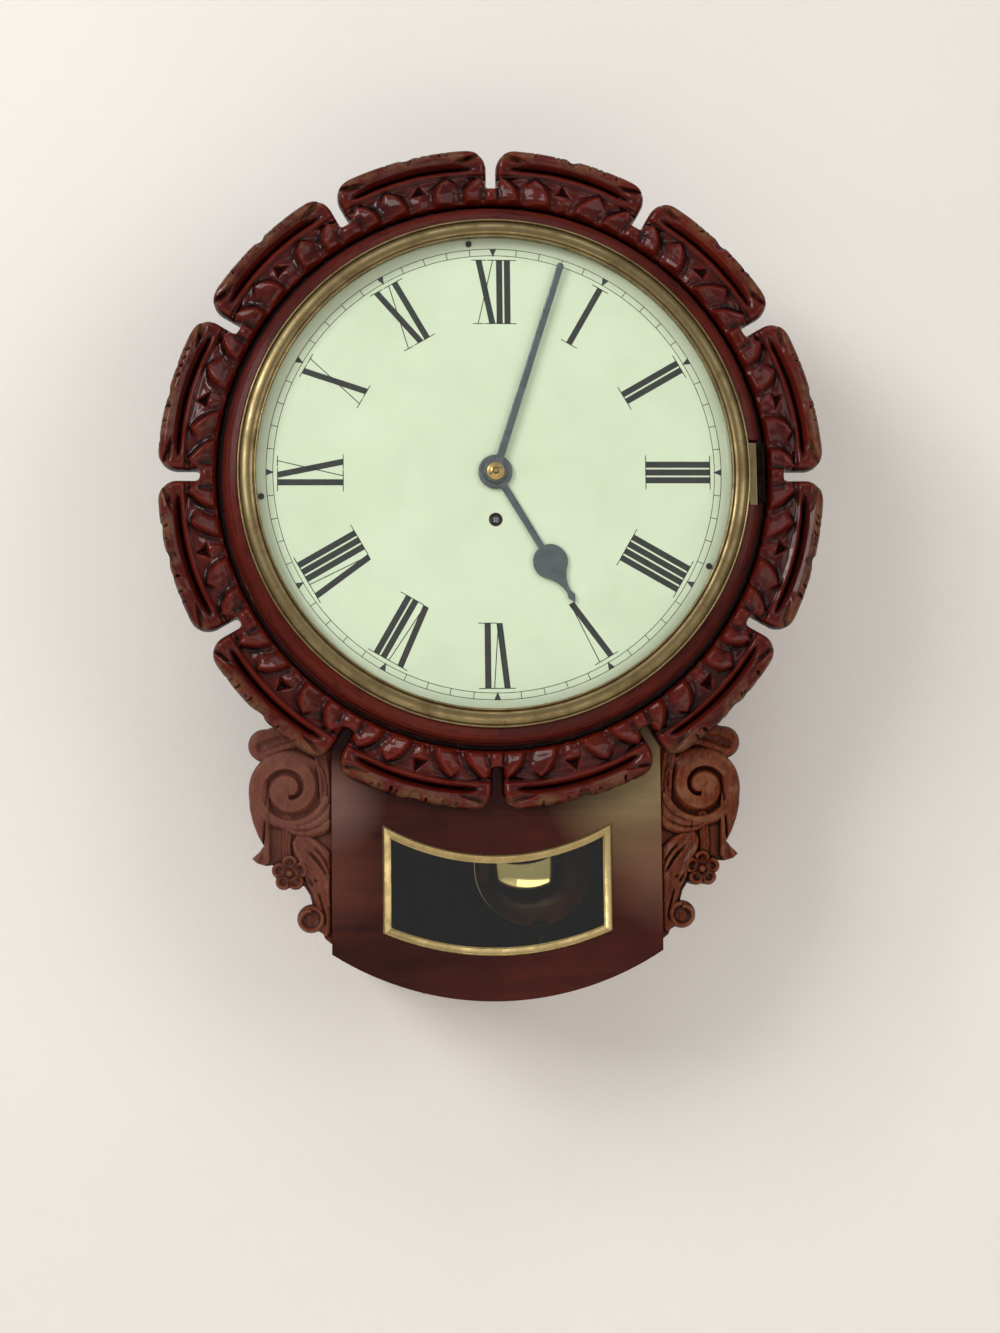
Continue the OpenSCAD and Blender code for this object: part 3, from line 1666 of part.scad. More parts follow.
// Minute wheel and pinion, turning on a stud of the front plate
module minute_wheel() {
  color(brass)
    difference() {
      union() {
        slab(minute_z, minute_z + wheel_t)
          translate(minute_at)
            wheel_2d(minute_teeth, cannon_module,
                 heading(minute_at, centre_at) + 180 / minute_teeth, 4.5);
        slab(minute_pinion_z, minute_z + 0.2)
          translate(minute_at)
            teeth_2d(minute_leaves, hour_module, heading(minute_at, centre_at), 0.9);
        bar(minute_at, minute_z + wheel_t - 0.1, front_plate_z - 0.2, 3);
      }
      bar(minute_at, minute_pinion_z - 1, front_plate_z, stud_r + run_gap);
    }
}

module hour_wheel() {
  color(brass)
    difference() {
      union() {
        slab(hour_z, hour_z + wheel_t)
          teeth_2d(hour_teeth, hour_module,
              heading(centre_at, minute_at) + 180 / hour_teeth);
        bar(centre_at, hour_hand_z - hand_t, hour_z + 0.1, hour_pipe_r);
      }
      bar(centre_at, hour_hand_z - hand_t - 1, hour_z + wheel_t + 1,
        cannon_pipe_r + run_gap);
    }
}

// Cock that carries the back of the pallet arbor and the pendulum's suspension
cock_half = 16;
module suspension_cock() {
  color(brass)
    difference() {
      union() {
        slab(cock_z, cock_z + cock_t)
          translate(pallet_at + [-cock_half, -5])
            square([2 * cock_half, 14]);
        for (sx = [-1, 1])
          slab(back_plate_end + seat_gap, cock_z + 0.1)
            translate(pallet_at + [sx * (cock_half - 2.5) - 2.5, -5])
              square([5, 14]);
        slab(cock_z + cock_t - 0.1, pendulum_z + 5)
          translate(pallet_at + [-5, 0])
            square([10, 9]);
      }
      bar(pallet_at, cock_z - 1, cock_z + cock_t, pivot_r + run_gap);
      slab(pendulum_z - 3.4, pendulum_z + 3.4)
        translate(pallet_at + [-0.5, -1])
          square([1, 2.4]);
    }
}

// Flat spring with a brass chop that carries the rod
module suspension_spring() {
  swung() {
    color(steel)
      slab(pendulum_z - 3, pendulum_z + 3)
        translate(pallet_at + [-0.1, -chop_top - 0.5])
          square([0.2, chop_top + 1.5]);
    color(brass)
      slab(pendulum_z - 3.4, pendulum_z + 3.4)
        translate(pallet_at + [-2.4, -chop_bottom])
          square([4.8, chop_bottom - chop_top]);
  }
}

// Along the pendulum rod, from a distance below the suspension
module along_rod(top, bottom, r) {
  translate([0, place(pendulum_z), suspension_rise - bottom - hang_rise])
    cylinder(h = bottom - top, r = r, $fn = round_fn);
}

nut_top = pendulum_l + bob_r + 0.1;
module pendulum_rod() {
  color(steel)
    swung()
      along_rod(chop_bottom + seat_gap, nut_top + nut_h + 9, rod_r);
}

module pendulum_bob() {
  color(brass)
    swung()
      difference() {
        intersection() {
          for_face(1);
          for_face(-1);
        }
        along_rod(pendulum_l - 2 * bob_r, pendulum_l + 2 * bob_r, rod_r + run_gap);
      }
}

// The ball whose cap is one face of the bob
module for_face(side) {
  translate([0, place(pendulum_z) + side * bob_offset, suspension_rise - pendulum_l - hang_rise])
    sphere(bob_face_r, $fn = 192);
}

module rating_nut() {
  color(brass)
    swung()
      difference() {
        along_rod(nut_top, nut_top + nut_h, nut_r);
        along_rod(nut_top - 1, nut_top + nut_h + 1, rod_r + run_gap);
      }
}

carved_rim();
dial_surround();
surround_blocks();
case_pegs();
top_board();
left_side();
right_side();
back_board();
bottom_board();
trunk_front();
window_moulding();
window_glass();
carved_ears();
hanging_plate();
wood_screws();
side_door();
side_door_hinges();
side_door_leaves();
side_door_knob();
bottom_door();
bottom_door_hinges();
bottom_door_leaves();
bottom_door_knob();
bezel();
bezel_glass();
glass_ring();
bezel_hinge_plate();
bezel_hinge_leaf();
bezel_catch();
dial_plate();
dial_screws();
dial_feet();
taper_pins();
minute_hand();
hour_hand();
hand_collet();
hand_pin();
front_plate();
back_plate();
plate_pillars();
barrel();
barrel_cover();
mainspring();
winding_arbor();
ratchet_wheel();
click();
click_spring();
intermediate_wheel();
centre_wheel();
third_wheel();
escape_wheel();
pallets();
cannon_pinion();
minute_wheel();
hour_wheel();
suspension_cock();
suspension_spring();
pendulum_rod();
pendulum_bob();
rating_nut();
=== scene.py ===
# %% [markdown]
# # A drop dial wall clock in wood, brass and paint
# The joiner's solids come first: they hold every size and every joint.
# This lesson then dresses them, piece by piece, the way the trades would have
# done it: carver, turner, polisher, dial painter, brass founder.
# All lengths are written in millimetres, because that is how a clock case is
# drawn, and one helper turns them into Blender's metres.

import math

import bmesh
import bpy
import numpy as np
from mathutils import Euler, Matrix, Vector


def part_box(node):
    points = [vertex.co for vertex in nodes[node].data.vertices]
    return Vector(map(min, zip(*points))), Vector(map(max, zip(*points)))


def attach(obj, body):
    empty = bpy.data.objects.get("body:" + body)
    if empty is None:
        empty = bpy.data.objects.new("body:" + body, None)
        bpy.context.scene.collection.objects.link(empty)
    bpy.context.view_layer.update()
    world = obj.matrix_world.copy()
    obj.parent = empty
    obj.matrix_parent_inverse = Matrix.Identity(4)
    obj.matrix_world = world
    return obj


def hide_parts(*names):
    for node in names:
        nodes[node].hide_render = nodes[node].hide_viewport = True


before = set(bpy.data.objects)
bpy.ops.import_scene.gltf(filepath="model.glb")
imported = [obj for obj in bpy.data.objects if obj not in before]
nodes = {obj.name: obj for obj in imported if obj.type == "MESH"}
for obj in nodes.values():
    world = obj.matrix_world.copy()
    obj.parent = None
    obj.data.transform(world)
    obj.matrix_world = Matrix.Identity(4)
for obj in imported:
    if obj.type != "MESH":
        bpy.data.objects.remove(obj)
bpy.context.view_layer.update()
# the frame's plain materials give up their names to the finishes made below
for bare in list(bpy.data.materials):
    bare.name = "bare_" + bare.name

# %% [markdown]
# ## A maker's ruler
# A clock case is set out from the middle of its dial. So `x` runs to the right
# of the dial's centre, `y` upwards from it, and `z` is the depth from the
# painted face towards the wall; a negative `z` stands proud of the paint.

# %% Millimetres from the dial's centre
FACE_FROM_WALL = 150.0
HOOK_ABOVE_CENTRE = 147.0


def at(x, y, z):
    """A point in metres in the shared frame, from the maker's millimetres."""
    return np.stack(
        np.broadcast_arrays(
            np.asarray(x, float) / 1000,
            (np.asarray(z, float) - FACE_FROM_WALL) / 1000,
            (np.asarray(y, float) - HOOK_ABOVE_CENTRE) / 1000,
        ),
        axis=-1,
    )


def soft_step(low, high, value):
    """0 below low, 1 above high, and a smooth S between them."""
    t = np.clip((value - low) / (high - low), 0, 1)
    return t * t * (3 - 2 * t)


print("dial centre:", at(0, 0, 0).round(4), "apex of the glass:", at(0, 0, -15.7).round(4))

# %% [markdown]
# ## The camera
# The photograph was taken with a long lens, from a little below the dial and
# a little to its left. The numbers come from fitting the dial's minute circle,
# both edges of the bezel and the outline of the trunk all at once.

# %% Camera
camera_data = bpy.data.cameras.new("photograph")
camera_data.lens = 54.01
camera_data.sensor_width = 36.0
camera = bpy.data.objects.new("photograph", camera_data)
bpy.context.collection.objects.link(camera)
camera.location = (-0.0816686, -1.3936989, -0.3767952)
camera.rotation_euler = Euler([math.radians(d) for d in (94.906138, 0.643162, -3.778448)])
bpy.context.scene.camera = camera
print("camera", [round(v, 3) for v in camera.location])

# %% [markdown]
# ## Shader building blocks
# Materials are wired in code. `add` makes one node and fills in whatever it is
# given: a socket becomes a wire, a number becomes the socket's own value.
# `effect` opens a node group, a reusable tool with named inputs and outputs.

# %% Helpers for node trees
def fill(tree, node, given):
    """Wires or sets a node's inputs, by name or by number."""
    for name, value in given.items():
        socket = node.inputs[name]
        if isinstance(value, bpy.types.NodeSocket):
            tree.links.new(value, socket)
        else:
            socket.default_value = value


def add(tree, kind, given=None, **settings):
    node = tree.nodes.new("ShaderNode" + kind)
    for name, value in settings.items():
        setattr(node, name, value)
    fill(tree, node, given or {})
    return node


def effect(name, inputs, outputs):
    """A new shader node group; inputs are {name: start value}, outputs {name: kind}."""
    tree = bpy.data.node_groups.new(name, "ShaderNodeTree")
    for label, value in inputs.items():
        kind = "Vector" if isinstance(value, tuple) else "Float"
        socket = tree.interface.new_socket(label, in_out="INPUT", socket_type="NodeSocket" + kind)
        socket.default_value = value
    for label, kind in outputs.items():
        tree.interface.new_socket(label, in_out="OUTPUT", socket_type="NodeSocket" + kind)
    given, made = tree.nodes.new("NodeGroupInput"), tree.nodes.new("NodeGroupOutput")
    return tree, given.outputs, made.inputs


def use(tree, group, given=None):
    """Places a node group in a material."""
    return add(tree, "Group", given, node_tree=group).outputs


def maths(tree, operation, first, second=0.0, clamp=False):
    given = {0: first, 1: second}
    return add(tree, "Math", given, operation=operation, use_clamp=clamp).outputs[0]


def vector_maths(tree, operation, first, second):
    return add(tree, "VectorMath", {0: first, 1: second}, operation=operation).outputs


# which of a Mix node's many sockets are the ones for colours
MIX_AMOUNT, MIX_FIRST, MIX_SECOND, MIX_RESULT = 0, 6, 7, 2


def blend_colours(tree, amount, first, second):
    """The first colour where amount is 0, the second where it is 1."""
    given = {MIX_AMOUNT: amount, MIX_FIRST: first, MIX_SECOND: second}
    return add(tree, "Mix", given, data_type="RGBA").outputs[MIX_RESULT]


def remap(tree, value, low, high, to_low=0.0, to_high=1.0):
    """Spreads low..high over to_low..to_high, clamped."""
    given = {"Value": value, "From Min": low, "From Max": high, "To Min": to_low, "To Max": to_high}
    return add(tree, "MapRange", given).outputs[0]


def scaled(tree, vector, factors):
    return vector_maths(tree, "MULTIPLY", vector, factors)["Vector"]


def noise(tree, vector, scale, detail=2.0, roughness=0.5, distortion=0.0):
    given = {"Vector": vector, "Scale": scale, "Detail": detail,
             "Roughness": roughness, "Distortion": distortion}
    return add(tree, "TexNoise", given).outputs[0]


def object_place(tree):
    return add(tree, "TexCoord").outputs["Object"]


def apart(tree, vector):
    """The three numbers of a vector, under the names X, Y and Z."""
    return add(tree, "SeparateXYZ", {"Vector": vector}).outputs


print("node helpers ready")

# %% Helpers for materials
def new_material(name):
    """An empty material with one Principled shader; returns its tree and that shader."""
    material = bpy.data.materials.new(name)
    material.use_nodes = True
    tree = material.node_tree
    return material, tree, tree.nodes["Principled BSDF"]


def sRGB(red, green, blue):
    """A paint-chart colour, 0 to 255, as the linear colour that shaders mix."""
    shares = (red / 255, green / 255, blue / 255)
    return (*(c / 12.92 if c <= 0.04045 else ((c + 0.055) / 1.055) ** 2.4 for c in shares), 1.0)


def dimmed(colour, share):
    return tuple(c * share for c in colour[:3]) + (1,)


def stain(tree, tone, mask, share, colour):
    """Lays a colour over a tone where the mask says, and by no more than that share."""
    return blend_colours(tree, maths(tree, "MULTIPLY", mask, share), tone, colour)


def emboss(tree, shader, height, strength, deep):
    """Lets a height tilt the surface; deep is how far the height reaches, in metres."""
    bump = add(tree, "Bump", {"Height": height, "Strength": strength, "Distance": deep})
    tree.links.new(bump.outputs[0], shader.inputs["Normal"])


def let_through(tree, shader, amount):
    """Mixes a shader with nothing at all: where amount is 1, rays pass."""
    nothing = add(tree, "BsdfTransparent").outputs[0]
    mix = add(tree, "MixShader", {0: amount, 1: shader.outputs[0], 2: nothing})
    tree.links.new(mix.outputs[0], tree.nodes["Material Output"].inputs["Surface"])


print("material helpers ready; a mid grey of 128 is", round(sRGB(128, 128, 128)[0], 3), "in linear light")

# %% [markdown]
# ## The wall
# The clock hangs flat on a plain wall, so the backdrop is that wall: off-white
# paint, with just enough roller texture to catch the light. It is only ever
# seen from the front. From behind, its material lets the camera and the lamps
# through, so that the back of the case can be looked at too. That mix stays in
# the material, made with Light Path and Backfacing.

# %% Wall and floor
WALL_BEHIND, BOARD_HALF, WALL_TOP = 0.0012, 3.2, 2.2
FLOOR_BELOW, FLOOR_FRONT = -1.75, -4.2


def backdrop(name, near, far, material):
    """A flat board between two edges, each given as (depth, height) in metres."""
    left, right = -BOARD_HALF, BOARD_HALF
    mesh = bpy.data.meshes.new(name)
    mesh.from_pydata([(left, *near), (right, *near), (right, *far), (left, *far)], [], [(0, 1, 2, 3)])
    mesh.materials.append(material)
    board = bpy.data.objects.new(name, mesh)
    bpy.context.collection.objects.link(board)


def painted_wall(name, colour):
    material, tree, shader = new_material(name)
    patches = remap(tree, noise(tree, object_place(tree), 2.2, 3.0), 0.3, 0.7)
    fill(tree, shader, {"Base Color": blend_colours(tree, patches, colour, dimmed(colour, 0.955)),
                        "Roughness": 0.85, "Specular IOR Level": 0.25})
    emboss(tree, shader, noise(tree, object_place(tree), 260.0, 3.0, 0.6), 0.12, 0.002)
    rays = add(tree, "LightPath").outputs
    behind = add(tree, "NewGeometry").outputs["Backfacing"]
    seen_from_behind = maths(tree, "MULTIPLY", behind, rays["Is Camera Ray"])
    let_through(tree, shader, maths(tree, "MAXIMUM", seen_from_behind, rays["Is Shadow Ray"]))
    return material


wall_paint = painted_wall("off_white_wall", (0.815, 0.787, 0.755, 1.0))
backdrop("wall", (WALL_BEHIND, FLOOR_BELOW), (WALL_BEHIND, WALL_TOP), wall_paint)
backdrop("floor", (FLOOR_FRONT, FLOOR_BELOW), (WALL_BEHIND, FLOOR_BELOW), wall_paint)
print("wall and floor in place")

# %% [markdown]
# ## Light
# The clock hung in a bright room with light from all sides, so its shadows on
# the wall are faint. Three broad soft lamps stand round it, the left one the
# strongest, to do the modelling, and a weak warm one lies low for the light
# that a room's floor throws back. A small bright one up on the left gives the
# polished wood and the brass something crisp to reflect. None of them stands
# where the domed glass would mirror it. A lamp behind the wall is for views of
# the back.

# %% Lamps and world
def soft_lamp(name, place, target, size, watts, tint=(1, 1, 1)):
    data = bpy.data.lights.new(name, "AREA")
    data.shape, data.size, data.size_y = "RECTANGLE", *size
    data.energy, data.color = watts, tint
    lamp = bpy.data.objects.new(name, data)
    bpy.context.collection.objects.link(lamp)
    lamp.location = place
    lamp.rotation_euler = (Vector(target) - Vector(place)).to_track_quat("-Z", "Y").to_euler()
    return lamp


CLOCK = (0, -0.1, -0.2)
soft_lamp("broad_left", (-2.66, -3.04, 1.2), CLOCK, (1.8, 1.4), 68, (1.0, 0.99, 0.98))
soft_lamp("broad_right", (2.94, -3.32, 0.5), CLOCK, (2.4, 2.1), 37, (1.0, 0.98, 0.95))
soft_lamp("high", (0.0, -3.04, 3.3), CLOCK, (3.4, 1.3), 30, (1.0, 0.99, 0.97))
soft_lamp("low", (0.1, -2.5, -1.6), CLOCK, (2.2, 0.6), 8, (1.0, 0.87, 0.74))
soft_lamp("small_left", (-1.35, -1.2, 0.75), CLOCK, (0.2, 0.5), 6)
soft_lamp("behind", (0.5, 2.2, 0.5), (0, 0, -0.2), (1.6, 1.6), 45)

world = bpy.data.worlds.new("room")
world.use_nodes = True
bpy.context.scene.world = world
room_light = world.node_tree.nodes["Background"]
room_light.inputs["Color"].default_value = (1.0, 0.985, 0.965, 1.0)
room_light.inputs["Strength"].default_value = 0.34
bpy.context.scene.view_settings.view_transform = "Standard"

# %% [markdown]
# ## What wood looks like up close
# Mahogany has three scales of figure: broad clouds of colour, streaks that run
# along the grain, and short dark pores. One node group makes all three as
# masks. It expects a vector whose first number runs along the grain, so the
# same tool serves a straight board and a ring that was turned on a lathe.

# %% The grain group
grain, grain_in, grain_out = effect(
    "grain_along",
    {"Along": (0.0, 0.0, 0.0), "Clouds": 9.0, "Streaks": 60.0, "Pores": 700.0},
    {"Figure": "Float", "Streak": "Float", "Pore": "Float"},
)
for mask, size, drawn_out, character, low, high in (
    ("Figure", "Clouds", 0.35, (4.0, 0.55, 0.6), 0.3, 0.7),
    ("Streak", "Streaks", 0.09, (4.0, 0.62, 0.8), 0.32, 0.68),
    ("Pore", "Pores", 0.11, (1.0, 0.4), 0.60, 0.70),
):
    place = scaled(grain, grain_in["Along"], (drawn_out, 1.0, 1.0))
    figure = noise(grain, place, grain_in[size], *character)
    grain.links.new(remap(grain, figure, low, high), grain_out[mask])

UNROLLED_R = 0.19
round_ring, _, round_ring_out = effect("round_the_dial", {}, {"Along": "Vector"})
position = apart(round_ring, object_place(round_ring))
above = maths(round_ring, "ADD", position["Z"], HOOK_ABOVE_CENTRE / 1000)
turn = maths(round_ring, "ARCTAN2", position["X"], above)
square = maths(round_ring, "ADD", maths(round_ring, "POWER", position["X"], 2.0),
               maths(round_ring, "POWER", above, 2.0))
unrolled = {"X": maths(round_ring, "MULTIPLY", turn, UNROLLED_R),
            "Y": maths(round_ring, "SQRT", square), "Z": position["Y"]}
round_ring.links.new(add(round_ring, "CombineXYZ", unrolled).outputs[0], round_ring_out["Along"])
print("groups:", [g.name for g in bpy.data.node_groups])

# %% [markdown]
# ## Where hands and years leave marks
# Edges lose their polish first. The Bevel node looks a little way round each
# point: where the rounded normal leaves the true one there is an edge, and the
# difference is a mask. A second group breaks any mask up with blotches, so
# that wear and grime come in patches, as they do on the real thing.

# %% Edge wear and grime groups
worn, worn_in, worn_out = effect("worn_edges", {"Reach": 0.0012, "Patch Size": 90.0}, {"Edge": "Float"})
smoothed = add(worn, "Bevel", {"Radius": worn_in["Reach"]}, samples=4).outputs[0]
true_normal = add(worn, "NewGeometry").outputs["True Normal"]
likeness = vector_maths(worn, "DOT_PRODUCT", smoothed, true_normal)["Value"]
edge = remap(worn, likeness, 0.995, 0.86)
patchy = noise(worn, object_place(worn), worn_in["Patch Size"], 3.0, 0.6)
worn.links.new(maths(worn, "MULTIPLY", edge, remap(worn, patchy, 0.35, 0.6)), worn_out["Edge"])

grime, grime_in, grime_out = effect(
    "grime", {"Size": 30.0, "Amount": 0.5}, {"Mask": "Float", "Fine": "Float"})
grime_place = object_place(grime)
blotches = remap(grime, noise(grime, grime_place, grime_in["Size"], 5.0, 0.62, 0.4), 0.38, 0.66)
grime.links.new(maths(grime, "MULTIPLY", blotches, grime_in["Amount"]), grime_out["Mask"])
grime.links.new(noise(grime, grime_place, 900.0, 2.0, 0.5), grime_out["Fine"])
print("wear groups ready")

# %% [markdown]
# ## Polished wood
# French polish is many thin coats of shellac. In the shader that is a clear
# coat over the stained wood: the wood itself may be dull, and the coat gives
# the sharp highlights. Carved pieces carry a `cavity` attribute on their mesh,
# measured when the carving is made: it lays painted shade, a near-black stain,
# into the hollows, and painted light, a paler stain, onto the crests.

# %% A maker for every wood on the clock
def wood(name, deep, body, light, along, clouds=9.0, streaks=60.0, pores=700.0, pore_share=0.55,
         gloss=0.3, coat=0.5, coat_gloss=0.14, bump=0.25, grimy=0.35,
         edge_tone=None, worn_colour=None, inner_shade=None, painted_light=()):
    material, tree, shader = new_material(name)
    marks = use(tree, grain, {"Along": along(tree), "Clouds": clouds, "Streaks": streaks, "Pores": pores})
    tone = blend_colours(tree, marks["Figure"], deep, body)
    tone = stain(tree, tone, marks["Streak"], 0.55, light)
    tone = stain(tree, tone, marks["Pore"], pore_share, dimmed(deep, 0.35))
    dirt = use(tree, grime, {"Amount": grimy})
    tone = blend_colours(tree, dirt["Mask"], tone, dimmed(deep, 0.55))
    rough = remap(tree, marks["Pore"], 0, 1, gloss, gloss + 0.25)
    # carved wood: painted shade in the hollows and painted light on the crests, besides the rubbed patches
    if worn_colour:
        tone, bare = carving_shade_and_wear(tree, tone, deep, light, worn_colour)
        rough = maths(tree, "ADD", rough, maths(tree, "MULTIPLY", bare, 0.3), clamp=True)
    if edge_tone:
        tone = stain(tree, tone, use(tree, worn)["Edge"], 0.75, edge_tone)
    # painted light: round each listed place the tone turns paler, for a sheen or highlight falling there
    for colour, place, reach in painted_light:
        away = vector_maths(tree, "DISTANCE", object_place(tree), place)["Value"]
        light_share = remap(tree, away, reach, 0.2 * reach, 0, 0.72)
        streaky = remap(tree, marks["Streak"], 0.0, 1.0, 0.75, 1.0)
        tone = stain(tree, tone, light_share, streaky, colour)
    # painted shade: faces that look towards the front, such as the inside of the back board, are darkened to
    # near black for the shade inside the case
    if inner_shade:
        facing = apart(tree, add(tree, "NewGeometry").outputs["Normal"])
        tone = blend_colours(tree, remap(tree, facing["Y"], -0.6, 0.2), inner_shade, tone)
    rough = maths(tree, "ADD", rough, maths(tree, "MULTIPLY", dirt["Mask"], 0.12), clamp=True)
    fill(tree, shader, {"Base Color": tone, "Roughness": rough, "Specular IOR Level": 0.08,
                        "Coat Weight": coat, "Coat Roughness": coat_gloss})
    height = maths(tree, "SUBTRACT", maths(tree, "MULTIPLY", marks["Streak"], 0.35), marks["Pore"])
    emboss(tree, shader, height, bump, 0.0003)
    return material


def carving_shade_and_wear(tree, tone, deep, light, worn_colour):
    """Painted shade in the hollows, painted light on the crests, and rubbed patches; returns the tone and where
    the wood is bare.
    """
    cavity = add(tree, "Attribute", attribute_name="cavity").outputs["Fac"]
    # painted shade: the hollows are stained nearly black
    tone = stain(tree, tone, remap(tree, cavity, 0.48, 0.18), 0.93, dimmed(deep, 0.10))
    # painted light: the crests are stained paler
    tone = stain(tree, tone, remap(tree, cavity, 0.56, 0.82), 0.4, light)
    rubbed = add(tree, "Attribute", attribute_name="rubbed").outputs["Fac"]
    patch = noise(tree, object_place(tree), 70.0, 5.0, 0.7)
    bare = maths(tree, "MULTIPLY", rubbed, remap(tree, patch, 0.44, 0.6, 0.0, 0.85))
    return blend_colours(tree, bare, tone, worn_colour), bare


def upright(tree):
    """Grain that stands upright, as in a board cut for the side of a case."""
    place = apart(tree, object_place(tree))
    return add(tree, "CombineXYZ", {"X": place["Z"], "Y": place["X"], "Z": place["Y"]}).outputs[0]


def level(tree):
    """Grain that runs from left to right."""
    return object_place(tree)


def around(tree):
    """Grain that follows the ring round the dial."""
    return use(tree, round_ring)["Along"]


print("a maker for woods, with grain", [way.__name__ for way in (upright, level, around)])

# %% [markdown]
# The colours come from the photograph: a deep one for the dark figure,
# a body colour, and a light one for the streaks. `worn_colour` is for carved
# wood and shows where it was rubbed; giving it also switches on the painted
# shade in the hollows and the painted light on the crests. `painted_light`
# lists places where a paler colour is painted in for a sheen or highlight
# that falls there: their colour, their middle and their reach in metres.

# %% The woods
rim_wood = wood("rim_wood", sRGB(33, 4, 6), sRGB(68, 11, 9), sRGB(106, 31, 17), around,
                clouds=26.0, gloss=0.36, coat=0.24, coat_gloss=0.07,
                worn_colour=sRGB(102, 68, 44), bump=0.1)
ring_wood = wood("ring_wood", sRGB(50, 9, 7), sRGB(80, 17, 10), sRGB(106, 35, 17), around,
                 clouds=14.0, gloss=0.4, coat=0.1, coat_gloss=0.16, edge_tone=sRGB(50, 18, 14), bump=0.08)
case_wood = wood("case_wood", sRGB(42, 15, 13), sRGB(70, 26, 20), sRGB(98, 44, 28), upright,
                 pore_share=0.25, gloss=0.34, coat=0.3, coat_gloss=0.2,
                 edge_tone=sRGB(46, 14, 12), bump=0.1)
# painted light: the four pale patches are the sheen on the upper right of the drop's front and a highlight down
# its left edge
trunk_veneer = wood("trunk_veneer", sRGB(32, 8, 7), sRGB(60, 19, 15), sRGB(86, 36, 23), level,
                    clouds=16.0, streaks=46.0, pores=420.0, pore_share=0.2,
                    gloss=0.32, coat=0.3, coat_gloss=0.18, edge_tone=sRGB(40, 12, 10), bump=0.06,
                    painted_light=((sRGB(146, 128, 92), (0.094, -0.133, -0.340), 0.066),
                           (sRGB(112, 80, 62), (0.104, -0.133, -0.395), 0.042),
                           (sRGB(92, 52, 40), (-0.106, -0.133, -0.400), 0.04),
                           (sRGB(122, 92, 84), (-0.103, -0.133, -0.354), 0.034)))
# painted light: the left ear is made pinker where the light falls on it from the left
ear_wood = wood("ear_wood", sRGB(50, 16, 9), sRGB(88, 34, 16), sRGB(122, 58, 28), upright,
                clouds=16.0, streaks=300.0, gloss=0.42, coat=0.15, coat_gloss=0.3,
                worn_colour=sRGB(114, 74, 52), bump=0.3, grimy=0.1,
                painted_light=((sRGB(104, 64, 56), (-0.131, -0.126, -0.345), 0.12),))
# painted shade: inner_shade is the near-black laid on faces inside the case
plain_wood = wood("plain_wood", sRGB(96, 70, 44), sRGB(134, 100, 64), sRGB(160, 124, 84), upright,
                  gloss=0.6, coat=0.0, edge_tone=sRGB(84, 60, 38), bump=0.2, grimy=0.3,
                  inner_shade=sRGB(9, 9, 11))
print("woods:", [m.name for m in (rim_wood, ring_wood, case_wood, trunk_veneer, ear_wood, plain_wood)])

# %% [markdown]
# ## Brass, steel and blued steel
# Old clock brass is never one colour. Lacquer wears through where fingers
# rest, and the bare metal darkens to a greenish brown in the corners. So the
# brass maker mixes a clean and a tarnished tone by a patchy mask, and lets the
# same mask dull the shine.

# %% Metals
def metal(name, clean, tarnished, gloss, tarnish=0.5, patch=40.0, scratches=0.2, edge_tone=None, spun=False):
    material, tree, shader = new_material(name)
    dirt = use(tree, grime, {"Size": patch, "Amount": 1.0})
    tone = stain(tree, clean, dirt["Mask"], tarnish, tarnished)
    if edge_tone:
        edge = use(tree, worn, {"Reach": 0.0006, "Patch Size": 220.0})["Edge"]
        tone = stain(tree, tone, edge, 0.7, edge_tone)
    rough = maths(tree, "ADD", gloss, maths(tree, "MULTIPLY", dirt["Mask"], 0.5 * gloss))
    rough = maths(tree, "ADD", rough, maths(tree, "MULTIPLY", dirt["Fine"], 0.25 * gloss))
    fill(tree, shader, {"Base Color": tone, "Metallic": 1.0, "Roughness": rough})
    lines = scaled(tree, around(tree) if spun else level(tree), (0.03, 1.0, 1.0))
    emboss(tree, shader, noise(tree, lines, 2600.0, 2.0), scratches, 0.0001)
    return material


bezel_brass = metal("bezel_brass", sRGB(144, 128, 92), sRGB(98, 82, 54), 0.3, 0.75, 60.0, 0.08,
                    sRGB(214, 200, 160), spun=True)
# near-black brass: painted shade for the bezel's hinge in its dark recess and for the rating nut, over some
# tarnish
shade_and_tarnish_brass = metal("shade_and_tarnish_brass", sRGB(36, 30, 22), sRGB(20, 16, 12), 0.5, 0.8, 120.0)
case_brass = metal("case_brass", sRGB(178, 158, 110), sRGB(124, 102, 62), 0.24, 0.5, 120.0, 0.1)
movement_brass = metal("movement_brass", sRGB(206, 172, 106), sRGB(148, 114, 62), 0.26, 0.5, 50.0)
pendulum_brass = metal("pendulum_brass", sRGB(250, 234, 158), sRGB(216, 186, 106), 0.04, 0.4, 26.0, 0.02)
steel = metal("steel", sRGB(148, 146, 142), sRGB(84, 78, 70), 0.3, 0.7, 120.0)
dark_steel = metal("dark_steel", sRGB(52, 56, 52), sRGB(34, 34, 30), 0.4, 0.6, 160.0)
blued_steel = metal("blued_steel", sRGB(94, 100, 104), sRGB(66, 70, 74), 0.42, 0.6, 120.0)
print("metals:", bezel_brass.name, pendulum_brass.name, blued_steel.name)

# %% [markdown]
# ## Dial paint, numerals and glass
# The dial is an iron plate with layers of cream paint, rubbed smooth, and only
# a dull primer on its back. The greenish cast is painted light: it stands for
# green daylight reflected in the glass over the dial. Glass is a Principled
# shader with its transmission at one; lamps must reach the paint behind it, so
# shadow rays and the light that surfaces pass on are let through, and that
# switch stays here in the material.

# %% Paint and glass
dial_paint, tree, shader = new_material("dial_paint")
spots = use(tree, grime, {"Size": 12.0, "Amount": 0.6})
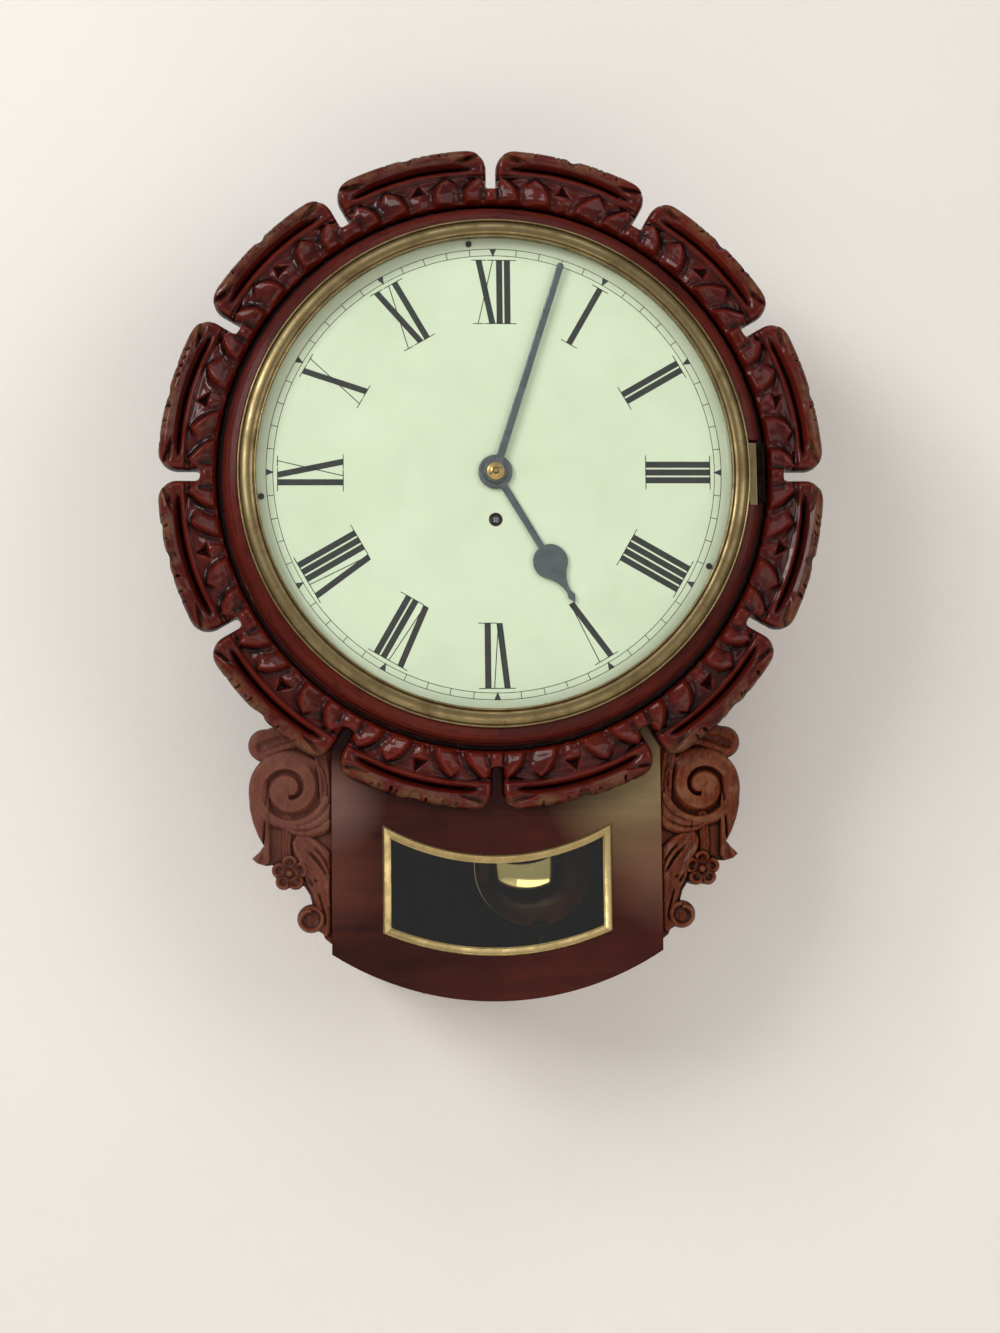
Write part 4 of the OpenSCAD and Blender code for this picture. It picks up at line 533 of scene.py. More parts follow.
# painted light: the greenish cream stands for green daylight reflected in the glass
tone = blend_colours(tree, spots["Mask"], sRGB(217, 232, 203), sRGB(202, 218, 187))
specks = remap(tree, noise(tree, level(tree), 420.0, 2.0), 0.72, 0.78, 0, 0.4)
tone = blend_colours(tree, specks, tone, sRGB(120, 116, 90))
near_rim = remap(tree, apart(tree, around(tree))["Y"], 0.138, 0.152, 0, 0.5)
tone = blend_colours(tree, near_rim, tone, sRGB(186, 192, 166))
on_back = remap(tree, apart(tree, add(tree, "NewGeometry").outputs["Normal"])["Y"], 0.2, 0.6)
tone = blend_colours(tree, on_back, tone, sRGB(84, 80, 72))
fill(tree, shader, {"Base Color": tone, "Roughness": remap(tree, spots["Fine"], 0.3, 0.7, 0.42, 0.55)})
emboss(tree, shader, noise(tree, level(tree), 300.0, 3.0), 0.08, 0.0004)

dial_black, tree, shader = new_material("dial_black")
thin = use(tree, grime, {"Size": 260.0, "Amount": 0.5})
tone = blend_colours(tree, thin["Mask"], sRGB(22, 25, 24), sRGB(40, 44, 40))
fill(tree, shader, {"Base Color": tone, "Roughness": remap(tree, thin["Fine"], 0.3, 0.7, 0.35, 0.5)})


def clear_glass(name, tint, smear=0.03):
    material, tree, shader = new_material(name)
    film = use(tree, grime, {"Size": 18.0, "Amount": 1.0})
    fill(tree, shader, {"Base Color": blend_colours(tree, film["Mask"], tint, dimmed(tint, 0.97)),
                        "Roughness": maths(tree, "MULTIPLY", film["Mask"], smear),
                        "Transmission Weight": 1.0, "IOR": 1.46})
    rays = add(tree, "LightPath").outputs
    let_through(tree, shader, maths(tree, "MAXIMUM", rays["Is Shadow Ray"], rays["Is Diffuse Ray"]))
    return material


dial_glass = clear_glass("dial_glass", (0.97, 0.99, 0.97, 1.0))
window_glass = clear_glass("window_glass", (0.92, 0.95, 0.96, 1.0), 0.0)
print("paint and glass ready")

# %% [markdown]
# ## Every solid gets its finish
# The record names a material slot for each solid. Handing the finishes out by
# slot means that no hidden cog or screw is forgotten.

# %% Finish the solids that stay
finishes = {finish.name: finish for finish in (
    rim_wood, ring_wood, case_wood, ear_wood, plain_wood, bezel_brass, case_brass, movement_brass,
    pendulum_brass, steel, blued_steel, dial_paint, dial_glass, window_glass)}
for solid in nodes.values():
    for material_slot in solid.material_slots:
        kind = material_slot.material.name.removeprefix("bare_")
        material_slot.link = "OBJECT"
        material_slot.material = finishes[kind]
# the bezel's hinge plate and the rating nut get near-black brass: painted shade with some tarnish
for solid, finish in (("trunk_front", trunk_veneer), ("dial_screws", dark_steel), ("pendulum_rod", dark_steel),
                      ("rating_nut", shade_and_tarnish_brass), ("bezel_hinge_plate", shade_and_tarnish_brass)):
    nodes[solid].material_slots[0].material = finish
print("finished", len(nodes), "solids from", len(finishes), "finishes")

# %% [markdown]
# ## From numbers to a piece
# Every piece below is a list of points and faces. `make_piece` turns them into
# an object, gives it its finish, hangs it on an empty named for the body it
# rides on, and hides the solids that it stands for.


def make_piece(name, points, faces, body, finish, stands_for=(), sharp=35.0, marks=None):
    """A piece from points in metres; sharp is the angle above which an edge stays crisp."""
    mesh = bpy.data.meshes.new(name)
    mesh.from_pydata(np.asarray(points, float).tolist(), [], faces)
    mesh.update()
    for label, values in (marks or {}).items():
        attribute = mesh.attributes.new(label, "FLOAT", "POINT")
        attribute.data.foreach_set("value", np.asarray(values, np.float32))
    tidy = bmesh.new()
    tidy.from_mesh(mesh)
    bmesh.ops.remove_doubles(tidy, verts=tidy.verts, dist=1e-7)
    bmesh.ops.dissolve_degenerate(tidy, edges=tidy.edges, dist=1e-8)
    bmesh.ops.recalc_face_normals(tidy, faces=tidy.faces)
    tidy.to_mesh(mesh)
    tidy.free()
    mesh.shade_smooth()
    mesh.set_sharp_from_angle(angle=math.radians(sharp))
    mesh.materials.append(finish)
    piece = bpy.data.objects.new(name, mesh)
    bpy.context.collection.objects.link(piece)
    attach(piece, body)
    if stands_for:
        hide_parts(*stands_for)
    print(f"{name}: {len(mesh.vertices)} points, {len(mesh.polygons)} faces, rides on {body}")


def sheet_faces(rows, columns, start=0, wrap=False, closed=False):
    """Quads of a grid of points listed row by row.

    wrap joins the ends of each row, and closed joins the last row to the first.
    """
    index = np.arange(rows * columns).reshape(rows, columns) + start
    if wrap:
        index = np.concatenate([index, index[:, :1]], axis=1)
    if closed:
        index = np.concatenate([index, index[:1]])
    quads = np.stack([index[:-1, :-1], index[:-1, 1:], index[1:, 1:], index[1:, :-1]], axis=-1)
    return quads.reshape(-1, 4).tolist()


def grid_edges(rows, columns):
    index = np.arange(rows * columns).reshape(rows, columns)
    across = np.stack([index[:, :-1], index[:, 1:]], axis=-1).reshape(-1, 2)
    along = np.stack([index[:-1], index[1:]], axis=-1).reshape(-1, 2)
    return np.concatenate([across, along])


# %% [markdown]
# Two more tools serve all the carving. `hollows` compares a carved height with
# a blurred copy of itself, which tells hollows from crests, and `knots` draws
# a smooth section through a few measured points.

# %% Tools for carving
def hollows(edges, height, rounds, span=3.0):
    """How far each point stands above its blurred surroundings; 0.5 is level."""
    blurred = np.array(height, float)
    first, second = edges[:, 0], edges[:, 1]
    count = np.bincount(np.concatenate([first, second]), minlength=len(height)) + 1
    for _ in range(rounds):
        spread = np.bincount(first, blurred[second], len(height))
        spread = spread + np.bincount(second, blurred[first], len(height))
        blurred = (blurred + spread) / count
    return np.clip(0.5 + (height - blurred) / span, 0, 1)


def knots(places, heights, soften):
    """A section through a few points, with its corners softened; returns a function of place."""
    fine = np.linspace(places[0], places[-1], 400)
    drawn = np.interp(fine, places, heights)
    padded = np.pad(drawn, soften, mode="edge")
    kernel = np.hanning(2 * soften + 1)
    softened = np.convolve(padded, kernel / kernel.sum(), mode="valid")
    return lambda place: np.interp(place, fine, softened)


print("a peak of 1 softened:", knots([0, 1, 2], [0, 1, 0], 9)(1.0).round(3))

# %% [markdown]
# ## The carved rim
# The rim is one ring of mahogany, cut into twelve lobes by slots. A carver
# works it in a fixed order: saw the outline, run the long hollow of each lobe
# with a gouge, round over the inner band, set in the row of leaves across it,
# and last the small cuts that catch the light. A height field follows that
# order: `r` is the distance from the dial's centre, `a` the angle from the
# lobe's middle, and each step adds to or takes from the height above the back.
# Every lobe gets slightly different numbers, because hands are not machines.

# %% The rim's outline
RIM_IN, RIM_OUT, RIM_BACK = 172.0, 212.5, 17.0
LOBES = 12
SLOT_FOOT, SLOT_HALF = 185.5, 3.15
LOBE_CORNER = 13.0


def lobe_half_angle(r):
    """Half the angle that a lobe fills at radius r, in degrees.

    Below the slots it reaches its neighbour's joint, beside a slot the slot's
    wall, and at the top it turns in round the corner.
    """
    opening = np.clip((r - SLOT_FOOT) / SLOT_HALF, 0, 1)
    half_slot = SLOT_HALF * np.sqrt(1 - (1 - opening) ** 2)
    turned_in = np.clip((r - (RIM_OUT - LOBE_CORNER)) / LOBE_CORNER, 0, 1)
    half_slot = half_slot + LOBE_CORNER * (1 - np.sqrt(1 - turned_in**2))
    return 180 / LOBES - np.degrees(np.arcsin(half_slot / r))


def lobe_top(a, middle, nick, chips):
    """Radius of the lobe's outer edge at angle a: a shallow nick near the middle and a few chips."""
    edge = RIM_OUT - nick * np.exp(-(((a - middle) / 1.1) ** 2))
    for place, deep in chips:
        edge = edge - deep * np.exp(-(((a - place) / 0.55) ** 2))
    return edge


print("lobe half angle at the slot's foot, above it and at the top:",
      lobe_half_angle(np.array([SLOT_FOOT, 195, RIM_OUT])).round(2))

# %% [markdown]
# One section through the middle of a lobe, read from the photograph. From the
# dial outwards: the band swells up, the wood drops into a scoop behind it,
# rises to a soft ridge, falls into the long crease, and swells again into a
# broad lip with a slanting outer edge. Towards a slot the section calms down.

# %% The rim's section
SECTION_AT = [172, 174.6, 175.1, 175.9, 177.4, 179.5, 182.0, 185.0, 187.5, 189.8, 192.0,
              194.6, 197.2, 198.9, 200.4, 201.9, 204.0, 206.6, 208.4, 213]
SECTION_UP = [4.6, 4.8, 8.6, 11.2, 12.6, 13.2, 13.4, 13.0, 12.2, 10.4, 8.9,
              8.2, 9.9, 8.4, 4.8, 7.8, 11.0, 12.4, 12.1, 9.4]
BAND_IN, BAND_TOP, SCOOP_EDGE, RIDGE_FOOT, CREASE = 175.0, 180.0, 187.5, 194.5, 200.6
LEAST_UP = 4.6
rim_section = knots(SECTION_AT, SECTION_UP, 3)
lobe_end_section = knots([172, 192.0, 196.0, 201.0, 206.0, 213], [9.0, 9.4, 10.6, 11.4, 11.4, 9.4], 12)
print("height in the crease and on the lip:", rim_section(np.array([CREASE, 206.6])).round(1))

# %% [markdown]
# A row of curling leaves stands across the band, two on each side of a lobe's
# middle. Each rises slowly from behind, leans over like a small wave and drops
# into a hollow in front of it. Behind the row a scoop hangs like a swag from
# tip to tip. Those two shapes, repeated round the ring with a carver's small
# differences, make the whole lively edge.

# %% Leaves, swags and the carver's cuts
JOINT = 180 / LOBES
LEAF_LINES, LEAVES_FULL_TO = (4.8, 11.0), 184.0
SWAGS = ((0.0, 6.2), (9.3, 3.1), (JOINT, 2.6))


def leaf_shape(side, r, lean):
    """Heights added by the curling leaves, and taken away by the hollows in front of them."""
    added, taken = np.zeros_like(side), np.zeros_like(side)
    bulge = 0.75 * np.sin(np.pi * np.clip((r - BAND_IN) / 18, 0, 1))
    full = np.clip(1 - np.clip(r - LEAVES_FULL_TO, 0, 99) / 10.4, 0, 1) ** 0.6
    for middle in LEAF_LINES:
        off = side - (middle + lean * (r - LEAVES_FULL_TO) / 10.0 - bulge)
        back = np.clip(1 - off / (3.5 * full + 0.2), 0, 1) ** 1.8
        front = soft_step(-1.5, 0.1, off)
        added = np.maximum(added, np.where(off < 0, front, back) * full)
        taken = np.maximum(taken, np.exp(-(((off + 2.0) / 1.35) ** 2)) * full)
    knuckle = np.clip(1 - ((side - JOINT) / 1.7) ** 2, 0, 1) * (1 - soft_step(182.0, 187.0, r))
    dip = np.exp(-(((side - JOINT + 2.1 - 0.06 * (r - BAND_TOP)) / 0.8) ** 2))
    dip = dip * (1 - soft_step(184.0, 188.0, r))
    return np.maximum(added, 0.6 * knuckle), np.maximum(taken, 0.6 * dip)


def scoop_edge(side):
    """Radius where the band ends and the scoop behind it begins: a chain of swags."""
    edge = np.full_like(side, 193.2)
    for middle, half in SWAGS:
        edge = np.minimum(edge, 185.4 + 7.8 * (np.abs(side - middle) / half) ** 1.8)
    return edge


def three_sided(m, r, middle, at_r, half, tall, lean):
    """A three-sided chip, deepest in its middle: what three slanting chisel cuts take out."""
    up = (r - at_r) / tall
    across = np.abs(np.radians(m - middle) * r - lean * up * half)
    slanting = math.hypot(half, tall)
    from_side = (1 - up - across / half) * tall * half / slanting
    deepest = tall * half / (half + slanting)
    return np.clip(np.minimum(from_side, up * tall) / deepest, 0, 1)


def fold(m, r, start, end, wide):
    """A long cut from start to end (angle, radius), steep on its outer side, fading towards its end."""
    unrolled_r = 200
    x, y = np.radians(m) * unrolled_r, r
    x0, x1 = math.radians(start[0]) * unrolled_r, math.radians(end[0]) * unrolled_r
    y0, y1 = start[1], end[1]
    long = math.hypot(x1 - x0, y1 - y0)
    along = ((x - x0) * (x1 - x0) + (y - y0) * (y1 - y0)) / long**2
    aside = ((x - x0) * (y1 - y0) - (y - y0) * (x1 - x0)) / long
    steep, gentle = np.clip(1 - aside / (wide * 0.3), 0, 1), np.clip(1 + aside / wide, 0, 1)
    cut = np.where(aside > 0, steep, gentle**1.5)
    return cut * soft_step(-0.45, 0.1, along) * (1 - soft_step(0.45, 1.0, along))


print("leaf, and hollow in front of it, at the first leaf's line:",
      [part.round(2) for part in leaf_shape(np.array([LEAF_LINES[0]]), np.array([LEAVES_FULL_TO]), 2)])

# %% [markdown]
# `carve` puts those forms together for one lobe. `hand` holds the carver's
# differences: how far the leaves drift, lean and fill out, how deep the cuts
# go, and where the edge was nicked.

# %% The carving of one lobe
def section_place(r, a, side, valley, hand):
    """Where in the drawn section a point lies, once the swags and the crease have moved it."""
    edge = scoop_edge(side)
    inner = BAND_IN + 0.1 + 0.5 * valley * (1 + 0.5 * np.sin(a * 2.1 + hand["phase"]))
    before = BAND_TOP + (r - BAND_TOP) * (SCOOP_EDGE - BAND_TOP) / (edge - BAND_TOP)
    behind = SCOOP_EDGE + (r - edge) * (RIDGE_FOOT - SCOOP_EDGE) / (RIDGE_FOOT - edge)
    place = np.where(r < edge, before, behind)
    place = np.where(r < BAND_TOP, BAND_TOP - (BAND_TOP - r) * 4.9 / (BAND_TOP - inner), place)
    place = np.where(r > RIDGE_FOOT, r, place)
    moved = -hand["hollow"] + 1.0 * (np.abs(a) / 11.0) ** 2
    return place + moved * soft_step(RIDGE_FOOT, 199.0, r) * (1 - soft_step(203.0, 206.0, r))


def edge_tooling(height, r, a, hand):
    """The bite in the middle of the lobe's edge and the short chisel cuts along it."""
    bite = np.hypot(np.radians(a - hand["bite_at"]) * r, (r - 210.4) * 0.95) / 4.4
    height = height - 2.6 * np.sqrt(np.clip(1 - bite**2, 0, 1))
    for place, deep, wide, long in hand["edge_cuts"]:
        slant = place + (r - RIM_OUT) * hand["slant"] + np.sign(place) * 0.22 * ((r - 210) / 2.4) ** 2
        cut = np.clip(1 - (np.abs(np.radians(a - slant) * r) / wide) ** 1.5, 0, 1)
        height = height - deep * cut * soft_step(RIM_OUT - long, RIM_OUT - long + 1.2, r)
    return height


def carve(r, a, hand):
    """Height of the carving above the rim's back, at radius r and angle a from the lobe's middle."""
    m = np.abs(a)
    calm = 1 - soft_step(12.6, 14.8, m)
    side = m * (1 + (np.where(a > 0, hand["right"], hand["left"]) - 1) * calm)
    side = np.abs(side - np.sign(a) * hand["drift"] * calm)
    leaf, valley = leaf_shape(side, r, np.where(a > 0, hand["lean_right"], hand["lean_left"]))

    height = rim_section(section_place(r, a, side, valley, hand))
    on_band = soft_step(BAND_IN, 177.6, r) * (1 - soft_step(190.5, RIDGE_FOOT, r))
    height = height + (3.0 * leaf - (1.7 + hand["fullness"]) * valley) * on_band
    ends = soft_step(9.0, 12.6, m) * soft_step(193.0, 197.0, r)
    height = height * (1 - ends) + lobe_end_section(r) * ends

    height = height - hand["folds"][0] * fold(m, r, (12.7, 208.4), (7.6, 202.9), 4.6)
    height = height - hand["folds"][1] * fold(m, r, (13.6, 192.4), (8.6, 194.6), 2.2)
    height = height - 4.6 * three_sided(a, r, hand["chip_at"], 185.6, 6.4, hand["chip_tall"], hand["chip_lean"])
    height = edge_tooling(height, r, a, hand)

    slow = hand["phase"]
    wave = (np.sin(a * 0.83 + r * 0.11 + slow) + np.sin(a * 1.27 - r * 0.23 + 2 * slow) * 0.7
            + np.sin(a * 0.31 + r * 0.37 + 3 * slow) * 0.6)
    height = height + 0.14 * wave * calm * soft_step(BAND_IN, BAND_IN + 4, r)

    to_side = np.radians(np.clip(lobe_half_angle(r) - m, 0, None)) * r
    to_side = np.where(r < SLOT_FOOT, 99.0, to_side)
    side_roll = np.clip(1 - to_side / 5.0, 0, 1)
    edge_roll = np.clip(1 - (RIM_OUT - r + 0.05) / 2.6, 0, 1)
    rolled = np.sqrt(np.clip(1 - side_roll**2.4 - edge_roll**2.2, 0, 1))
    return LEAST_UP + (height - LEAST_UP) * rolled


print("forms ready for", LOBES, "lobes, each", 2 * JOINT, "degrees wide")

# %% Numbers for twelve different lobes
hands_of_carver = np.random.default_rng(12)


def carvers_numbers():
    draw = hands_of_carver
    return dict(
        drift=draw.uniform(-0.4, 0.4), hollow=draw.uniform(-0.5, 0.4), phase=draw.uniform(0, 6),
        left=draw.uniform(0.94, 1.07), right=draw.uniform(0.94, 1.07),
        lean_left=draw.uniform(0.9, 2.6), lean_right=draw.uniform(0.9, 2.6), fullness=draw.uniform(0, 1),
        folds=(draw.uniform(2.4, 3.4), draw.uniform(1.0, 1.7)),
        chip_at=draw.uniform(-0.6, 0.6), chip_tall=draw.uniform(8.2, 9.8), chip_lean=draw.uniform(-0.5, 0.5),
        bite_at=draw.uniform(-0.8, 0.8), slant=draw.uniform(-0.15, 0.15),
        edge_cuts=[(side * place + draw.uniform(-0.5, 0.5), draw.uniform(1.8, 3.2),
                    draw.uniform(0.8, 1.5), draw.uniform(3.6, 5.6))
                   for side in (-1, 1) for place in (2.4, 3.7, 5.6, 7.4) if draw.random() < 0.8],
        chips=[(draw.uniform(-9, 9), draw.uniform(0.2, 0.9)) for _ in range(5)],
    )


lobe_hands = [carvers_numbers() for lobe in range(LOBES)]
print("edge cuts on each lobe:", [len(hand["edge_cuts"]) for hand in lobe_hands])

# %% [markdown]
# Each lobe is a sheet of points from the inner edge to the top, laid on its
# carved height. A flat back is then joined on, all the way round: along the
# inner edge, up one slot wall, over the top and down the other.

# %% Carve twelve lobes
ROWS, COLUMNS = 100, 200
TOP_FROM = 199.0
foot_row = round((SLOT_FOOT - RIM_IN) / (RIM_OUT - RIM_IN) * (ROWS - 1))
points, faces, cavity, rubbed = [], [], [], []
start = 0
for lobe, hand in enumerate(lobe_hands):
    share = np.linspace(-1, 1, COLUMNS)
    top = lobe_top(share * lobe_half_angle(RIM_OUT), hand["bite_at"], 1.4, hand["chips"])
    r = RIM_IN + (RIM_OUT - RIM_IN) * np.linspace(0, 1, ROWS)[:, None] + np.zeros(COLUMNS)
    r = np.where(r > TOP_FROM, TOP_FROM + (r - TOP_FROM) * (top - TOP_FROM) / (RIM_OUT - TOP_FROM), r)
    a = share * lobe_half_angle(r)
    height = carve(r, a, hand)
    turn = np.radians(a + 15 + 30 * lobe)
    front = at(r * np.sin(turn), r * np.cos(turn), RIM_BACK - height).reshape(-1, 3)
    index = np.arange(ROWS * COLUMNS).reshape(ROWS, COLUMNS)
    rim_line = np.concatenate([index[foot_row:, -1], index[-1, ::-1][1:], index[foot_row:-1, 0][::-1]])
    back = front[np.concatenate([index[0], rim_line])].copy()
    back[:, 1] = (RIM_BACK - FACE_FROM_WALL) / 1000
    faces += sheet_faces(ROWS, COLUMNS, start)
    flat = start + ROWS * COLUMNS
    for edge_line, behind in ((index[0] + start, flat), (rim_line + start, flat + COLUMNS)):
        step = np.arange(len(edge_line) - 1) + behind
        faces += np.stack([edge_line[1:], edge_line[:-1], step, step + 1], axis=-1).tolist()
    faces.append(list(range(flat, flat + len(back))))
    points += [front, back]
    cavity += [hollows(grid_edges(ROWS, COLUMNS), height.reshape(-1), 30, 1.9), np.full(len(back), 0.35)]
    rubbed += [soft_step(202.5, 208.5, r).reshape(-1), np.zeros(len(back))]
    start = flat + len(back)
make_piece("carved_rim_ring", np.concatenate(points), faces, "case", rim_wood, ["carved_rim"], 60,
           {"cavity": np.concatenate(cavity), "rubbed": np.concatenate(rubbed)})

# %% [markdown]
# ## Carving inside a drawn outline
# The ears and the hands are flat shapes with a worked front. For them a fine
# grid is laid over the drawing. Squares outside are thrown away, points just
# outside are moved onto the line, and a height function lifts the rest. It
# needs only the distance to the outline, negative inside, and distances of
# simple shapes join up by taking the least.

# %% Distances to drawn shapes
def from_circle(x, y, centre, r):
    return np.hypot(x - centre[0], y - centre[1]) - r


def from_line(x, y, path):
    """Distance to a path of straight stretches, and how far along it the nearest place lies, 0 to 1."""
    path = np.asarray(path, float)
    lengths = np.hypot(*(path[1:] - path[:-1]).T)
    best = np.full(np.shape(x), 1e9)
    along = np.zeros(np.shape(x))
    done = 0.0
    for (x0, y0), (x1, y1), length in zip(path[:-1], path[1:], lengths):
        t = np.clip(((x - x0) * (x1 - x0) + (y - y0) * (y1 - y0)) / length**2, 0, 1)
        d = np.hypot(x - x0 - (x1 - x0) * t, y - y0 - (y1 - y0) * t)
        along = np.where(d < best, (done + t * length) / lengths.sum(), along)
        best = np.minimum(best, d)
        done += length
    return best, along


def from_polygon(x, y, corners):
    corners = np.asarray(corners, float)
    inside = np.zeros(np.shape(x), bool)
    for (x0, y0), (x1, y1) in zip(corners, np.roll(corners, -1, axis=0)):
        if y0 != y1:
            inside ^= ((y0 <= y) != (y1 <= y)) & (x < x0 + (y - y0) * (x1 - x0) / (y1 - y0))
    distance, _ = from_line(x, y, np.vstack([corners, corners[:1]]))
    return np.where(inside, -distance, distance)


def join(*distances, soft=0.0):
    """The outline of several shapes together; soft fills the corners where they meet."""
    total = distances[0]
    for d in distances[1:]:
        if soft:
            near = np.clip(0.5 + 0.5 * (total - d) / soft, 0, 1)
            total = total * (1 - near) + d * near - soft * near * (1 - near)
        else:
            total = np.minimum(total, d)
    return total


def relief(outline, height, low, high, spacing, base, to_frame):
    """A relief inside an outline, laid over a grid: its points, faces, edges, and the depths of its front
    points.

    base is the depth of its flat back; to_frame turns drawing places into metres.
    """
    xs = np.arange(low[0] - spacing, high[0] + 2 * spacing, spacing)
    ys = np.arange(low[1] - spacing, high[1] + 2 * spacing, spacing)
    x, y = np.meshgrid(xs, ys)
    d = outline(x, y)
    quads = np.array(sheet_faces(*x.shape))
    quads = quads[(d.reshape(-1)[quads] < -0.15 * spacing).any(axis=1)]
    used = np.unique(quads)
    renumber = np.full(x.size, -1)
    renumber[used] = np.arange(len(used))
    quads = renumber[quads]
    x, y, d = x.reshape(-1)[used], y.reshape(-1)[used], d.reshape(-1)[used]
    step = spacing * 0.05
    for _ in range(3):
        move = d > -0.2 * spacing
        gx = (outline(x + step, y) - outline(x - step, y)) / (2 * step)
        gy = (outline(x, y + step) - outline(x, y - step)) / (2 * step)
        size = np.maximum(np.hypot(gx, gy), 0.3)
        x = np.where(move, x - d * gx / size**2, x)
        y = np.where(move, y - d * gy / size**2, y)
        d = np.where(move, outline(x, y), d)
    z = height(x, y, np.clip(-d, 0, None))
    sides = np.concatenate([quads[:, [i, (i + 1) % 4]] for i in range(4)])
    seen = set(map(tuple, sides.tolist()))
    border = [(p, q) for p, q in seen if (q, p) not in seen]
    n = len(x)
    faces = quads.tolist() + (quads[:, ::-1] + n).tolist() + [[q, p, p + n, q + n] for p, q in border]
    points = np.concatenate([to_frame(x, y, z), to_frame(x, y, np.full(n, base))])
    return points, faces, np.sort(sides, axis=1), z


print("a circle of 2 seen from 3 away:", from_circle(3.0, 0.0, (0, 0), 2.0))

# %% [markdown]
# ## The carved ears
# Each ear fills the corner between the rim and the drop. A carver would call
# the forms a scroll, a leaf that rolls out above it, a C-shaped leaf under it,
# a hanging husk, a five-petalled flower, and a small scroll at the foot. They
# are drawn here the way they are cut: one form at a time, each with its own
# flutes, and the highest form wins where two overlap.

# %% The ear's outline
EAR_GROUND, EAR_BACK, TRUNK_SIDE = 24.0, 41.0, 104.0
SCROLL, SCROLL_R = (27.0, -198.0), 25.0
LEAF_ROLL, LEAF_ROLL_R = (42.0, -170.0), 10.3
FOOT_SCROLL, FOOT_R = (13.0, -279.0), 8.8
FLOWER, FLOWER_HEART, PETAL_R = (26.5, -250.5), 4.0, 5.2
PETAL_TURNS = [math.radians(90 + 72 * petal) for petal in range(5)]
FLOWER_PETALS = [(FLOWER[0] + PETAL_R * 1.2 * math.cos(t), FLOWER[1] + PETAL_R * 1.2 * math.sin(t))
                 for t in PETAL_TURNS]
EAR_TOP = [(0.1, -158), (22, -153), (41, -159.8), (40, -180), SCROLL, (20, -226), (0.1, -229)]
EAR_MIDDLE = [(51.9, -200), (51.4, -210), (49.2, -219), (46, -227), (42.6, -233), (45, -236.5), (50, -241),
              (46.5, -244), (41, -245.6), (36, -245), (28, -240), (18, -228), SCROLL]
EAR_FOOT = [(0.1, -220), (20, -222), (32, -240), (24, -254), (17, -259), (13.8, -264), (12, -271), (14, -279),
            (9, -286.5), (5.4, -288.6), (4.4, -291.4), (0.1, -295)]


def ear_outline(x, y):
    rounds = [(SCROLL, SCROLL_R), (LEAF_ROLL, LEAF_ROLL_R), (FOOT_SCROLL, FOOT_R), (FLOWER, FLOWER_HEART)]
    rounds += [(petal, PETAL_R) for petal in FLOWER_PETALS]
    drawn = (EAR_TOP, EAR_MIDDLE, EAR_FOOT)
    return join(*(from_circle(x, y, *one) for one in rounds),
                *(from_polygon(x, y, corners) for corners in drawn), soft=0.6)


def groove(x, y, path, half, deep, ends=0.12):
    """A gouge cut along a path, which fades in and out at its ends."""
    d, along = from_line(x, y, path)
    fade = soft_step(0, ends, along) * (1 - soft_step(1 - ends, 1, along))
    return deep * np.clip(1 - (d / half) ** 2, 0, 1) * fade


def rounded(distance_inside, radius):
    """0 at an edge, rising like a quarter circle to 1 at that radius."""
    out = np.clip(1 - distance_inside / radius, 0, 1)
    return np.sqrt(1 - out**2)


def crowned(distance_inside, radius, at_edge=0.3):
    """A share of the full height: at_edge on the edge, 1 from that radius on."""
    return at_edge + (1 - at_edge) * rounded(distance_inside, radius)


def round_about(x, y, centre):
    """Offsets from a centre, and the distance from it."""
    dx, dy = x - centre[0], y - centre[1]
    return dx, dy, np.hypot(dx, dy)


print("an edge rounded over 2, at 0, 1 and 2 inside it:", rounded(np.array([0, 1, 2]), 2).round(2))

# %% [markdown]
# Each form gives its height above the ear's ground, and `ABSENT` where it
# isn't there at all. The numbers are places on the drawing, in millimetres
# from the side of the drop and from the dial's centre.


# %% Scroll and C-shaped leaf
ABSENT = -9.0


def scroll_form(x, y):
    """The big scroll: a disc with one groove that winds in to its eye."""
    dx, dy, r = round_about(x, y, SCROLL)
    turn = np.degrees(np.arctan2(-dx, -dy)) % 360
    cut = np.zeros_like(r)
    for lap in (0, 1):
        total = turn + 360 * lap
        line = 5.0 + 12.4 * total / 360
        half = 1.3 + 1.0 * np.clip(total / 400, 0, 1)
        live = soft_step(-2, 14, total) * (1 - soft_step(470, 520, total))
        wide = np.where(r < line, half * 1.75, half)
        cut = np.maximum(cut, 4.3 * live * np.clip(1 - (np.abs(r - line) / wide) ** 1.6, 0, 1))
    height = 4.6 + 0.7 * np.exp(-((r - 12) / 9) ** 2) - cut
    return np.where(r < SCROLL_R, height * crowned(SCROLL_R - r, 3.4, 0.35), ABSENT)


